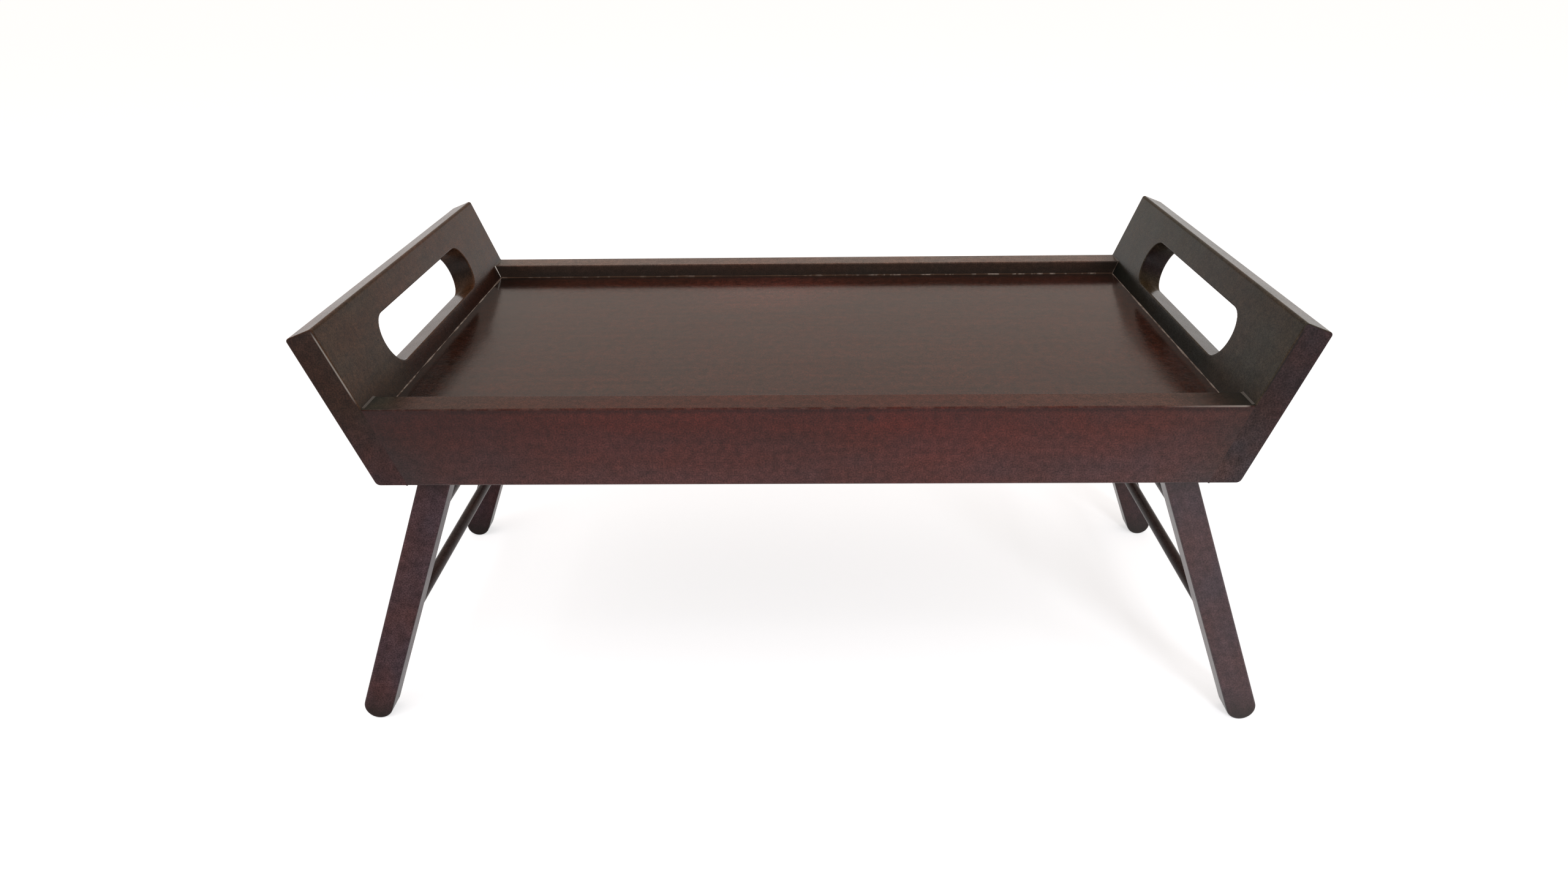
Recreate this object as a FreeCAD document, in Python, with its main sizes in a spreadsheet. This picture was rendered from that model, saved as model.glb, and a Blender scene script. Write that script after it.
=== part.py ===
import FreeCAD, Part
import os
import Sketcher
from FreeCAD import Placement, Rotation, Vector

# Folding bed tray table: a shallow wooden tray between two outward-leaning end boards
# with hand slots, carried by two folding leg frames that splay outward when open.
#
# Frame: millimetres and degrees, +Z up, the floor at Z = 0, +X to the right along the
# long side, the user's side at -Y, origin under the middle of the tray.

# name, size, what it is
SIZES = [
    ("base_length", 528.0, "tray length over its end boards, at the bottom edge"),
    ("tray_depth", 330.0, "tray depth over its rails"),
    ("end_lean", 21.5, "lean of the end boards from upright, degrees"),
    ("end_thickness", 18.0, "end board thickness"),
    ("end_width", 102.5, "end board width, up the slope of its outer face"),
    ("rail_height", 51.0, "front and back rail height"),
    ("rail_thickness", 21.0, "front and back rail thickness"),
    ("floor_recess", 10.5, "depth of the tray floor below the top of the rails"),
    ("floor_thickness", 6.0, "tray floor panel thickness"),
    ("tongue_thickness", 3.0, "tongue round the edge of the floor panel"),
    ("groove_depth", 6.0, "groove that takes the tongue"),
    ("groove_play", 0.15, "play between the floor panel and what holds it"),
    ("slot_length", 189.0, "hand slot length"),
    ("slot_width", 34.3, "hand slot width"),
    ("slot_margin", 20.0, "wood left above the hand slot"),
    ("edge_radius", 1.0, "rounding of the rails' long edges and of the hand slots"),
    ("outline_radius", 0.8, "rounding round the end boards' front and back faces"),
    ("top_radius", 2.0, "rounding of the end boards' top edges"),
    ("base_radius", 3.7, "rounding of the end boards' outer bottom edge"),
    ("leg_width", 20.0, "leg width, seen from the front"),
    ("leg_thickness", 19.0, "leg thickness, front to back"),
    ("leg_length", 216.0, "pivot to the centre of the rounded foot"),
    ("leg_splay", 20.5, "splay of an open leg from upright, degrees"),
    ("leg_radius", 1.5, "rounding of the legs' edges"),
    ("pivot_height", 12.0, "leg pivot above the bottom edge of the tray"),
    ("stop_gap", 0.2, "gap between an open leg and the end board that stops it"),
    ("rung_diameter", 9.0, "rung diameter"),
    ("rung_play", 0.05, "play round a rung in its socket"),
    ("upper_rung", 66.0, "pivot to the upper rung, along the leg"),
    ("lower_rung", 156.0, "pivot to the lower rung, along the leg"),
    ("rung_socket", 12.0, "depth of a rung's socket in the leg"),
    ("bolt_diameter", 6.0, "pivot bolt diameter"),
    ("bolt_play", 0.08, "running play round the bolt in the leg"),
    ("bolt_reach", 12.0, "length of the bolt inside its insert"),
    ("head_diameter", 12.0, "bolt head diameter"),
    ("head_height", 3.5, "bolt head height"),
    ("key_size", 4.0, "hexagon socket in the bolt head, across flats"),
    ("key_depth", 2.2, "depth of the hexagon socket"),
    ("insert_diameter", 9.0, "threaded insert diameter"),
    ("insert_length", 13.0, "threaded insert length"),
    ("insert_play", 0.05, "play round the insert and round the bolt in it"),
    ("washer_diameter", 16.0, "head washer and spacer washer diameter"),
    ("washer_thickness", 1.2, "head washer thickness"),
    ("spacer_thickness", 4.0, "spacer washer between rail and leg"),
    ("washer_play", 0.2, "play round the bolt in both washers"),
    ("side_play", 0.1, "play between a leg and the washer on each side of it"),
    ("dowel_diameter", 8.0, "joint dowel diameter"),
    ("dowel_in_end", 12.0, "joint dowel length in the end board"),
    ("dowel_in_rail", 14.0, "joint dowel length in the rail"),
    ("dowel_play", 0.05, "play round a joint dowel and at each end of its hole"),
    ("lower_dowel", 20.0, "lower dowel above the bottom edge of the tray"),
    ("upper_dowel", 37.0, "upper dowel above the bottom edge of the tray"),
]

# name, formula over the sizes (S) and the places above it (P)
PLACES = [
    ("base_level", "S.leg_length * cos(S.leg_splay) + S.leg_width / 2 - S.pivot_height"),
    ("inner_half", "S.base_length / 2 - S.end_thickness / cos(S.end_lean)"),
    ("rail_top_half", "P.inner_half + S.rail_height * tan(S.end_lean)"),
    ("half_depth", "S.tray_depth / 2"),
    ("rail_face", "P.half_depth - S.rail_thickness"),
    ("end_cut", "S.end_thickness * tan(S.end_lean)"),
    ("end_top", "P.end_cut + S.end_width"),
    ("slot_level", "P.end_top - S.slot_margin - S.slot_width / 2"),
    ("slot_straight", "(S.slot_length - S.slot_width) / 2"),
    ("slot_radius", "S.slot_width / 2"),
    ("slot_low", "P.slot_level - P.slot_radius"),
    ("joint_length", "S.rail_height / cos(S.end_lean)"),
    ("square_start", "S.outline_radius * tan(S.end_lean)"),
    ("square_end", "P.joint_length + P.square_start"),
    ("floor_top", "S.rail_height - S.floor_recess"),
    ("floor_bottom", "P.floor_top - S.floor_thickness"),
    ("tongue_top", "P.floor_bottom + S.tongue_thickness"),
    ("groove_top", "P.tongue_top + S.groove_play"),
    ("groove_low_mouth", "P.floor_bottom / cos(S.end_lean)"),
    ("groove_high_mouth", "P.groove_top / cos(S.end_lean)"),
    ("groove_inset", "S.groove_depth * cos(S.end_lean)"),
    ("groove_rise", "S.groove_depth * sin(S.end_lean)"),
    ("groove_low_end", "P.groove_low_mouth + P.groove_rise"),
    ("groove_high_end", "P.groove_high_mouth + P.groove_rise"),
    ("groove_half_depth", "P.rail_face + S.groove_depth"),
    ("tongue_half", "P.inner_half + P.floor_bottom * tan(S.end_lean) + S.groove_depth - S.groove_play"),
    ("shoulder_low_half", "P.inner_half + P.tongue_top * tan(S.end_lean) - S.groove_play"),
    ("shoulder_high_half", "P.inner_half + P.floor_top * tan(S.end_lean) - S.groove_play"),
    ("floor_half_depth", "P.groove_half_depth - S.groove_play"),
    ("shoulder_half_depth", "P.rail_face - S.groove_play"),
    ("pivot_half", "P.inner_half - (S.leg_width / 2 + S.stop_gap + S.pivot_height * sin(S.leg_splay))"
                   " / cos(S.leg_splay)"),
    ("pivot_level", "P.base_level + S.pivot_height"),
    ("leg_face", "P.rail_face - S.spacer_thickness - S.side_play"),
    ("leg_inner_face", "P.leg_face - S.leg_thickness"),
    ("spacer_seat", "P.rail_face - S.spacer_thickness"),
    ("head_seat", "P.leg_inner_face - S.side_play - S.washer_thickness"),
    ("leg_radius_end", "S.leg_width / 2"),
    ("leg_bore", "S.bolt_diameter / 2 + S.bolt_play"),
    ("rung_radius", "S.rung_diameter / 2"),
    ("socket_radius", "P.rung_radius + S.rung_play"),
    ("rung_half", "P.leg_inner_face + S.rung_socket - S.rung_play"),
    ("bolt_radius", "S.bolt_diameter / 2"),
    ("bolt_length", "P.rail_face - P.head_seat + S.bolt_reach"),
    ("head_radius", "S.head_diameter / 2"),
    ("head_brim", "S.head_height / 3"),
    ("head_crown", "P.head_radius - S.head_height + P.head_brim"),
    ("key_half", "S.key_size / 2"),
    ("key_corner", "P.key_half / cos(30)"),
    ("key_half_corner", "P.key_corner / 2"),
    ("key_floor", "S.head_height - S.key_depth"),
    ("insert_radius", "S.insert_diameter / 2"),
    ("insert_bore", "P.bolt_radius + S.insert_play"),
    ("insert_hole", "P.insert_radius + S.insert_play"),
    ("washer_radius", "S.washer_diameter / 2"),
    ("washer_bore", "P.bolt_radius + S.washer_play"),
    ("dowel_radius", "S.dowel_diameter / 2"),
    ("dowel_hole", "P.dowel_radius + S.dowel_play"),
    ("dowel_half", "P.half_depth - (S.rail_thickness - S.groove_depth) / 2"),
    ("dowel_set_back", "(S.rail_thickness + S.groove_depth) / 2"),
    ("lower_dowel_slope", "S.lower_dowel / cos(S.end_lean)"),
    ("upper_dowel_slope", "S.upper_dowel / cos(S.end_lean)"),
    ("end_hole_depth", "S.dowel_in_end + S.dowel_play"),
    ("rail_hole_depth", "S.dowel_in_rail + S.dowel_play"),
]

SIDES = [("left", -1), ("right", 1)]
ENDS = [("front", -1), ("back", 1)]
TOUCH = 1e-4

doc = FreeCAD.newDocument("bed_tray_table")
sheet = doc.addObject("Spreadsheet::Sheet", "Sizes")
places = doc.addObject("App::VarSet", "Places")
nodes = {}


# ---------------------------------------------------------------- sizes and places

def write_sizes():
    """One row per driving size: its name, its number and what it is."""
    for row, (name, size, meaning) in enumerate(SIZES, start=1):
        sheet.set(f"A{row}", name)
        sheet.set(f"B{row}", str(size))
        sheet.set(f"C{row}", meaning)
        sheet.setAlias(f"B{row}", name)
    doc.recompute()


def full(term):
    """A formula with its short prefixes written out."""
    return term.replace("S.", "Sizes.").replace("P.", "Places.")


def write_places():
    """Everything that follows from the sizes, worked out once."""
    for name, formula in PLACES:
        places.addProperty("App::PropertyFloat", name, "Places")
        places.setExpression(name, full(formula).replace("Places.", ""))
    doc.recompute()


def number(term):
    """The present value of a term such as P.floor_top, -S.leg_length or 0."""
    sign = -1.0 if term.startswith("-") else 1.0
    word = term.lstrip("-")
    if word.startswith("S."):
        return sign * float(sheet.get(word[2:]))
    if word.startswith("P."):
        return sign * getattr(places, word[2:])
    return sign * float(word)


def signed(sign, term):
    """The term, or its opposite on the negative side."""
    if term == "0" or sign > 0:
        return term
    return term[1:] if term.startswith("-") else "-" + term


def bind(thing, path, term):
    """Ties a property to a term."""
    thing.setExpression(path, full(term))


# ---------------------------------------------------------------- bodies and sketches

def new_body(name):
    """An empty body that becomes one piece of the object."""
    body = doc.addObject("PartDesign::Body", name)
    body.Label = name
    nodes[name] = body
    return body


def put(thing, x="0", y="0", z="0", axis=None, angle="0"):
    """Places a piece: its origin, and a turn about an axis."""
    turn = Rotation(Vector(*axis), number(angle)) if axis else Rotation()
    thing.Placement = Placement(Vector(number(x), number(y), number(z)), turn)
    for letter, term in (("x", x), ("y", y), ("z", z)):
        if term != "0":
            bind(thing, "Placement.Base." + letter, term)
    if axis and not angle[0].isdigit():
        bind(thing, "Placement.Rotation.Angle", angle)


def plane_sketch(body, name, role, lift="0", tilt=None):
    """A sketch on one of the body's own origin planes, lifted along its normal and,
    where tilt is given, turned by that angle about its own first axis."""
    sketch = body.newObject("Sketcher::SketchObject", name)
    plane = [f for f in body.Origin.OriginFeatures if f.Role == role][0]
    sketch.AttachmentSupport = (plane, [""])
    sketch.MapMode = "FlatFace"
    turn = Rotation(Vector(1, 0, 0), number(tilt)) if tilt else Rotation()
    sketch.AttachmentOffset = Placement(Vector(0, 0, number(lift)), turn)
    if lift != "0":
        bind(sketch, "AttachmentOffset.Base.z", lift)
    if tilt:
        bind(sketch, "AttachmentOffset.Rotation.Angle", tilt)
    return sketch


def fix_point(sketch, curve, which, x, y):
    """Holds a point of the sketch at the terms x and y from its origin."""
    for kind, term, axis in (("DistanceX", x, -2), ("DistanceY", y, -1)):
        if term == "0":
            sketch.addConstraint(Sketcher.Constraint("PointOnObject", curve, which, axis))
            continue
        index = sketch.addConstraint(
            Sketcher.Constraint(kind, -1, 1, curve, which, number(term)))
        bind(sketch, f"Constraints[{index}]", term)


def fix_radius(sketch, curve, term):
    """Holds the radius of a circle or arc."""
    index = sketch.addConstraint(Sketcher.Constraint("Radius", curve, number(term)))
    bind(sketch, f"Constraints[{index}]", term)


def polygon(sketch, corners):
    """A closed outline through corners, each a pair of terms."""
    at = [Vector(number(x), number(y), 0) for x, y in corners]
    count = len(at)
    for i in range(count):
        sketch.addGeometry(Part.LineSegment(at[i], at[(i + 1) % count]))
    for i in range(count):
        sketch.addConstraint(Sketcher.Constraint("Coincident", i, 2, (i + 1) % count, 1))
    for i, (x, y) in enumerate(corners):
        fix_point(sketch, i, 1, x, y)


def circle(sketch, x, y, radius):
    """A circle with its centre at the terms x and y."""
    centre = Vector(number(x), number(y), 0)
    index = sketch.addGeometry(Part.Circle(centre, Vector(0, 0, 1), number(radius)))
    fix_point(sketch, index, 3, x, y)
    fix_radius(sketch, index, radius)


def round_ended(sketch, first, second, radius):
    """A straight slot shape with half-round ends about two centres, which lie one above
    the other or side by side."""
    a = Vector(number(first[0]), number(first[1]), 0)
    b = Vector(number(second[0]), number(second[1]), 0)
    along = (b - a).normalize()
    across = Vector(-along.y, along.x, 0) * number(radius)
    start = across.getAngle(Vector(1, 0, 0))
    start = start if across.y >= 0 else -start
    half_turn = FreeCAD.Units.Quantity("180 deg").getValueAs("rad").Value
    for centre, begin in ((a, start), (b, start + half_turn)):
        ring = Part.Circle(centre, Vector(0, 0, 1), number(radius))
        sketch.addGeometry(Part.ArcOfCircle(ring, begin, begin + half_turn))
    sketch.addGeometry(Part.LineSegment(a - across, b - across))
    sketch.addGeometry(Part.LineSegment(b + across, a + across))
    for curve, end, other, other_end in ((0, 2, 2, 1), (2, 2, 1, 1), (1, 2, 3, 1), (3, 2, 0, 1)):
        sketch.addConstraint(Sketcher.Constraint("Tangent", curve, end, other, other_end))
    fix_point(sketch, 0, 3, *first)
    fix_point(sketch, 1, 3, *second)
    fix_radius(sketch, 0, radius)


def pad(body, sketch, name, length, backwards=False, both_ways=False):
    """Raises a sketch into wood or metal, one way or by that length each way."""
    feature = body.newObject("PartDesign::Pad", name)
    feature.Profile = sketch
    feature.Type = "Length"
    feature.Length = number(length)
    bind(feature, "Length", length + " * 2" if both_ways else length)
    feature.Midplane = both_ways
    feature.Reversed = backwards
    sketch.Visibility = False
    doc.recompute()


def cut(body, sketch, name, depth=None, backwards=False, both_ways=False):
    """Cuts a sketch out of the body: to a depth, to that depth each side of the sketch's
    plane, or right through both ways."""
    before = body.Shape.Volume
    feature = body.newObject("PartDesign::Pocket", name)
    feature.Profile = sketch
    if depth:
        feature.Type = "Length"
        feature.Length = number(depth)
        bind(feature, "Length", depth + " * 2" if both_ways else depth)
        feature.Reversed = backwards
        feature.Midplane = both_ways
    else:
        feature.Type = "ThroughAll"
        feature.Midplane = True
    sketch.Visibility = False
    doc.recompute()
    if not body.Shape.Volume < before - TOUCH:
        raise RuntimeError(f"{body.Label}: {name} cuts nothing")
    return feature


def mirror(body, feature, name, role):
    """Repeats a cut on the other side of one of the body's origin planes."""
    copy = body.newObject("PartDesign::Mirrored", name)
    copy.Originals = [feature]
    plane = [f for f in body.Origin.OriginFeatures if f.Role == role][0]
    copy.MirrorPlane = (plane, [""])
    body.Tip = copy
    doc.recompute()
    return copy


def round_edges(body, name, radius, chosen):
    """Rounds the edges of the body that the test picks."""
    feature = body.Tip
    picked = [f"Edge{i}" for i, edge in enumerate(feature.Shape.Edges, start=1) if chosen(edge)]
    if not picked:
        raise RuntimeError(f"{body.Label}: {name} finds no edge")
    fillet = body.newObject("PartDesign::Fillet", name)
    fillet.Base = (feature, picked)
    fillet.Radius = number(radius)
    bind(fillet, "Radius", radius)
    doc.recompute()
    return fillet


def near(value, term):
    """Whether a coordinate lies at a term."""
    return abs(value - number(term)) < TOUCH


def all_near(edge, letter, *terms):
    """Whether every point of an edge has its coordinate at one of the terms."""
    at = [getattr(vertex.Point, letter) for vertex in edge.Vertexes]
    at.append(getattr(edge.valueAt((edge.FirstParameter + edge.LastParameter) / 2), letter))
    return any(all(near(value, term) for value in at) for term in terms)


# ---------------------------------------------------------------- the tray

def rail(name, end):
    """Front or back rail. Its inner face is the body's XZ plane, and its bottom edge the
    X axis. Both ends are cut to the lean of the end boards."""
    body = new_body(name)
    outward = end < 0
    outline = plane_sketch(body, name + "_outline", "XZ_Plane")
    polygon(outline, [
        ("-P.inner_half", "0"),
        ("P.inner_half", "0"),
        ("P.rail_top_half", "S.rail_height"),
        ("-P.rail_top_half", "S.rail_height"),
    ])
    pad(body, outline, name + "_board", "S.rail_thickness", backwards=not outward)

    groove = plane_sketch(body, name + "_groove_outline", "YZ_Plane")
    deep = signed(end, "S.groove_depth")
    polygon(groove, [
        ("0", "P.floor_bottom"),
        (deep, "P.floor_bottom"),
        (deep, "P.groove_top"),
        ("0", "P.groove_top"),
    ])
    cut(body, groove, name + "_groove")

    holes = plane_sketch(body, name + "_insert_holes_outline", "XZ_Plane")
    for side in ("-", ""):
        circle(holes, side + "P.pivot_half", "S.pivot_height", "P.insert_hole")
    cut(body, holes, name + "_insert_holes", "S.insert_length", backwards=outward)

    dowels = plane_sketch(body, name + "_dowel_holes_outline", "YZ_Plane",
                          lift="P.inner_half", tilt="S.end_lean")
    for level in ("P.lower_dowel_slope", "P.upper_dowel_slope"):
        circle(dowels, signed(end, "P.dowel_set_back"), level, "P.dowel_hole")
    holes = cut(body, dowels, name + "_dowel_holes", "P.rail_hole_depth")
    mirror(body, holes, name + "_other_dowel_holes", "YZ_Plane")

    round_edges(body, name + "_rounding", "S.edge_radius",
                lambda edge: all_near(edge, "z", "0", "S.rail_height")
                and (all_near(edge, "y", "0") or all_near(edge, "y", signed(end, "S.rail_thickness"))))
    put(body, y=signed(end, "P.rail_face"), z="P.base_level")


def end_board(name, side):
    """Leaning end board with its hand slot. The body's Z axis runs up its inner face from
    the bottom edge, and the wood lies outward from there. Its bottom is cut level."""
    body = new_body(name)
    outer = signed(side, "S.end_thickness")
    outline = plane_sketch(body, name + "_outline", "XZ_Plane")
    polygon(outline, [
        ("0", "0"),
        (outer, "P.end_cut"),
        (outer, "P.end_top"),
        ("0", "P.end_top"),
    ])
    pad(body, outline, name + "_board", "P.half_depth", both_ways=True)
    round_edges(body, name + "_base_rounding", "S.base_radius",
                lambda edge: all_near(edge, "x", outer) and all_near(edge, "z", "P.end_cut"))
    round_edges(body, name + "_top_rounding", "S.top_radius",
                lambda edge: all_near(edge, "x", "0", outer) and all_near(edge, "z", "P.end_top"))
    round_edges(body, name + "_outline_rounding", "S.outline_radius",
                lambda edge: all_near(edge, "y", "P.half_depth", "-P.half_depth"))

    # The edges stay square where the rails meet the board, so that the joints are flush.
    square = plane_sketch(body, name + "_joint_edges_outline", "XZ_Plane")
    shallow = signed(side, "S.outline_radius")
    polygon(square, [
        ("0", "0"),
        (shallow, "P.square_start"),
        (shallow, "P.square_end"),
        ("0", "P.joint_length"),
    ])
    pad(body, square, name + "_joint_edges", "P.half_depth", both_ways=True)

    slot = plane_sketch(body, name + "_slot_outline", "YZ_Plane")
    round_ended(slot, ("-P.slot_straight", "P.slot_level"), ("P.slot_straight", "P.slot_level"),
                "P.slot_radius")
    cut(body, slot, name + "_slot")
    slot_end = number("S.slot_length") / 2 + TOUCH
    round_edges(body, name + "_slot_rounding", "S.edge_radius",
                lambda edge: all_near(edge, "x", "0", outer)
                and max(abs(edge.BoundBox.YMin), edge.BoundBox.YMax) < slot_end
                and edge.BoundBox.ZMin > number("P.slot_low") - TOUCH)

    groove = plane_sketch(body, name + "_groove_outline", "XZ_Plane")
    deep = signed(side, "P.groove_inset")
    polygon(groove, [
        ("0", "P.groove_low_mouth"),
        (deep, "P.groove_low_end"),
        (deep, "P.groove_high_end"),
        ("0", "P.groove_high_mouth"),
    ])
    cut(body, groove, name + "_groove", "P.groove_half_depth", both_ways=True)

    dowels = plane_sketch(body, name + "_dowel_holes_outline", "YZ_Plane")
    for end in ("-", ""):
        for level in ("P.lower_dowel_slope", "P.upper_dowel_slope"):
            circle(dowels, end + "P.dowel_half", level, "P.dowel_hole")
    cut(body, dowels, name + "_dowel_holes", "P.end_hole_depth", backwards=side > 0)
    put(body, x=signed(side, "P.inner_half"), z="P.base_level",
        axis=(0, side, 0), angle="S.end_lean")


def tray_floor():
    """Floor panel with a tongue all round. The shoulders at its ends follow the lean of the
    end boards, so that its top face fills the space between the four boards."""
    body = new_body("tray_floor")
    outline = plane_sketch(body, "tray_floor_outline", "XZ_Plane")
    polygon(outline, [
        ("-P.tongue_half", "P.floor_bottom"),
        ("P.tongue_half", "P.floor_bottom"),
        ("P.tongue_half", "P.tongue_top"),
        ("P.shoulder_low_half", "P.tongue_top"),
        ("P.shoulder_high_half", "P.floor_top"),
        ("-P.shoulder_high_half", "P.floor_top"),
        ("-P.shoulder_low_half", "P.tongue_top"),
        ("-P.tongue_half", "P.tongue_top"),
    ])
    pad(body, outline, "tray_floor_panel", "P.floor_half_depth", both_ways=True)
    rebate = plane_sketch(body, "tray_floor_rebate_outline", "YZ_Plane")
    polygon(rebate, [
        ("P.shoulder_half_depth", "P.tongue_top"),
        ("P.groove_half_depth", "P.tongue_top"),
        ("P.groove_half_depth", "P.floor_top"),
        ("P.shoulder_half_depth", "P.floor_top"),
    ])
    front = cut(body, rebate, "tray_floor_rebate")
    mirror(body, front, "tray_floor_other_rebate", "XZ_Plane")
    put(body, z="P.base_level")


def joint_dowel(name, side, end, height, slope):
    """Dowel square to the slanted joint between a rail and an end board."""
    dowel = doc.addObject("Part::Cylinder", name)
    dowel.Label = name
    nodes[name] = dowel
    bind(dowel, "Radius", "P.dowel_radius")
    bind(dowel, "Height", "S.dowel_in_rail + S.dowel_in_end")
    # The dowel starts dowel_in_rail inside the rail and rises away from the end board.
    bind(dowel, "Placement.Base.x",
         f"{side} * (P.inner_half + {slope} * sin(S.end_lean) - S.dowel_in_rail * cos(S.end_lean))")
    bind(dowel, "Placement.Base.y", signed(end, "P.dowel_half"))
    bind(dowel, "Placement.Base.z", f"P.base_level + {height} + S.dowel_in_rail * sin(S.end_lean)")
    outward = number("S.end_lean") + 90
    dowel.Placement.Rotation = Rotation(Vector(0, side, 0), outward)
    bind(dowel, "Placement.Rotation.Angle", "S.end_lean + 90")


# ---------------------------------------------------------------- the leg frames

def leg(name, side, end):
    """One leg, round at both ends. The body's origin is the pivot on the face towards the
    rail, and the leg hangs along -Z, splayed by the body's turn."""
    body = new_body(name)
    outline = plane_sketch(body, name + "_outline", "XZ_Plane")
    round_ended(outline, ("0", "0"), ("0", "-S.leg_length"), "P.leg_radius_end")
    pad(body, outline, name + "_bar", "S.leg_thickness", backwards=end < 0)

    bore = plane_sketch(body, name + "_pivot_bore_outline", "XZ_Plane")
    circle(bore, "0", "0", "P.leg_bore")
    cut(body, bore, name + "_pivot_bore")

    inner = signed(end, "S.leg_thickness")
    sockets = plane_sketch(body, name + "_sockets_outline", "XZ_Plane", lift=inner)
    for level in ("-S.upper_rung", "-S.lower_rung"):
        circle(sockets, "0", level, "P.socket_radius")
    cut(body, sockets, name + "_sockets", "S.rung_socket", backwards=end < 0)

    faces = ("0", signed(-end, "S.leg_thickness"))
    wide = number("P.leg_radius_end") - TOUCH
    round_edges(body, name + "_rounding", "S.leg_radius",
                lambda edge: all_near(edge, "y", *faces)
                and max(abs(edge.BoundBox.XMin), abs(edge.BoundBox.XMax)) > wide)
    put(body, x=signed(side, "P.pivot_half"), y=signed(end, "P.leg_face"), z="P.pivot_level",
        axis=(0, -side, 0), angle="S.leg_splay")


def rung(name, side, distance):
    """Round rung glued into sockets in the front and back leg of one frame."""
    bar = doc.addObject("Part::Cylinder", name)
    bar.Label = name
    nodes[name] = bar
    bind(bar, "Radius", "P.rung_radius")
    bind(bar, "Height", "P.rung_half * 2")
    bar.Placement.Rotation = Rotation(Vector(1, 0, 0), -90)
    bind(bar, "Placement.Base.x", f"{side} * (P.pivot_half + {distance} * sin(S.leg_splay))")
    bind(bar, "Placement.Base.y", "-P.rung_half")
    bind(bar, "Placement.Base.z", f"P.pivot_level - {distance} * cos(S.leg_splay)")


# ---------------------------------------------------------------- the pivots

def pivot_bolt(name, side, end):
    """Button-head bolt. The body's origin is under the head, which lies towards the middle
    of the tray, and the shank runs out through the leg into the rail's insert."""
    body = new_body(name)
    outline = plane_sketch(body, name + "_outline", "XY_Plane")
    polygon(outline, [
        ("0", signed(end, "P.bolt_length")),
        ("P.bolt_radius", signed(end, "P.bolt_length")),
        ("P.bolt_radius", "0"),
        ("P.head_radius", "0"),
        ("P.head_radius", signed(-end, "P.head_brim")),
        ("P.head_crown", signed(-end, "S.head_height")),
        ("0", signed(-end, "S.head_height")),
    ])
    turned = body.newObject("PartDesign::Revolution", name + "_turned")
    turned.Profile = outline
    turned.ReferenceAxis = (outline, ["V_Axis"])
    turned.Angle = 360
    outline.Visibility = False
    doc.recompute()

    key = plane_sketch(body, name + "_key_outline", "XZ_Plane", lift=signed(end, "P.key_floor"))
    polygon(key, [
        ("P.key_corner", "0"),
        ("P.key_half_corner", "P.key_half"),
        ("-P.key_half_corner", "P.key_half"),
        ("-P.key_corner", "0"),
        ("-P.key_half_corner", "-P.key_half"),
        ("P.key_half_corner", "-P.key_half"),
    ])
    cut(body, key, name + "_key", "S.key_depth", backwards=end > 0)
    put(body, x=signed(side, "P.pivot_half"), y=signed(end, "P.head_seat"), z="P.pivot_level")


def ring(name, side, end, outer, bore, length, start):
    """Washer, spacer or insert round a pivot, from the plane start outward."""
    body = new_body(name)
    outline = plane_sketch(body, name + "_outline", "XZ_Plane")
    circle(outline, "0", "0", outer)
    circle(outline, "0", "0", bore)
    pad(body, outline, name + "_ring", length, backwards=end > 0)
    put(body, x=signed(side, "P.pivot_half"), y=signed(end, start), z="P.pivot_level")


def pivot(where, side, end):
    """Bolt, washers and insert at one leg's pivot."""
    pivot_bolt(where + "_pivot_bolt", side, end)
    ring(where + "_head_washer", side, end, "P.washer_radius", "P.washer_bore",
         "S.washer_thickness", "P.head_seat")
    ring(where + "_leg_spacer", side, end, "P.washer_radius", "P.washer_bore",
         "S.spacer_thickness", "P.spacer_seat")
    ring(where + "_threaded_insert", side, end, "P.insert_radius", "P.insert_bore",
         "S.insert_length", "P.rail_face")


# ---------------------------------------------------------------- the whole table

def build():
    write_sizes()
    write_places()
    for end_name, end in ENDS:
        rail(f"{end_name}_rail", end)
    for side_name, side in SIDES:
        end_board(f"{side_name}_end_board", side)
    tray_floor()
    for side_name, side in SIDES:
        for end_name, end in ENDS:
            where = f"{end_name}_{side_name}"
            leg(where + "_leg", side, end)
            pivot(where, side, end)
            for level in ("lower", "upper"):
                joint_dowel(f"{where}_{level}_dowel", side, end, f"S.{level}_dowel", f"P.{level}_dowel_slope")
        for level in ("upper", "lower"):
            rung(f"{side_name}_{level}_rung", side, f"S.{level}_rung")
    doc.recompute()


def check():
    """Stops before anything is written if an object failed or a piece is not one good solid."""
    for thing in doc.Objects:
        if "Invalid" in thing.State or "Error" in thing.State:
            raise RuntimeError(f"{thing.Label} failed: {thing.State}")
    for name, piece in nodes.items():
        shape = piece.Shape
        if shape.isNull() or not shape.isValid() or len(shape.Solids) != 1:
            raise RuntimeError(f"{name} is not one valid solid")


def write():
    os.makedirs("parts", exist_ok=True)
    for name, piece in nodes.items():
        piece.Shape.exportStep(os.path.join("parts", name + ".step"))
        print(f"{name:32s} {piece.Shape.Volume / 1000:9.3f} cm3")


build()
check()
write()
print(f"{len(nodes)} nodes")
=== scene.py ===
"""Looks of a folding bed tray table in dark stained, lacquered wood.

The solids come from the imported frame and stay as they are. This file gives each of them its
finish, adds the thin beads of lacquer that stand in the corners of the tray, and sets up the
floor, the light and the camera. Sizes are in metres. A tint is a factor on the red, green and
blue of a colour. A fade is a pair of values: where a mask starts and where it is full.
"""

import math

import bmesh
import bpy
from bpy.props import FloatProperty, FloatVectorProperty, IntProperty, PointerProperty
from bpy.types import Operator, Panel, PropertyGroup
from mathutils import Matrix, Vector, noise


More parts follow.
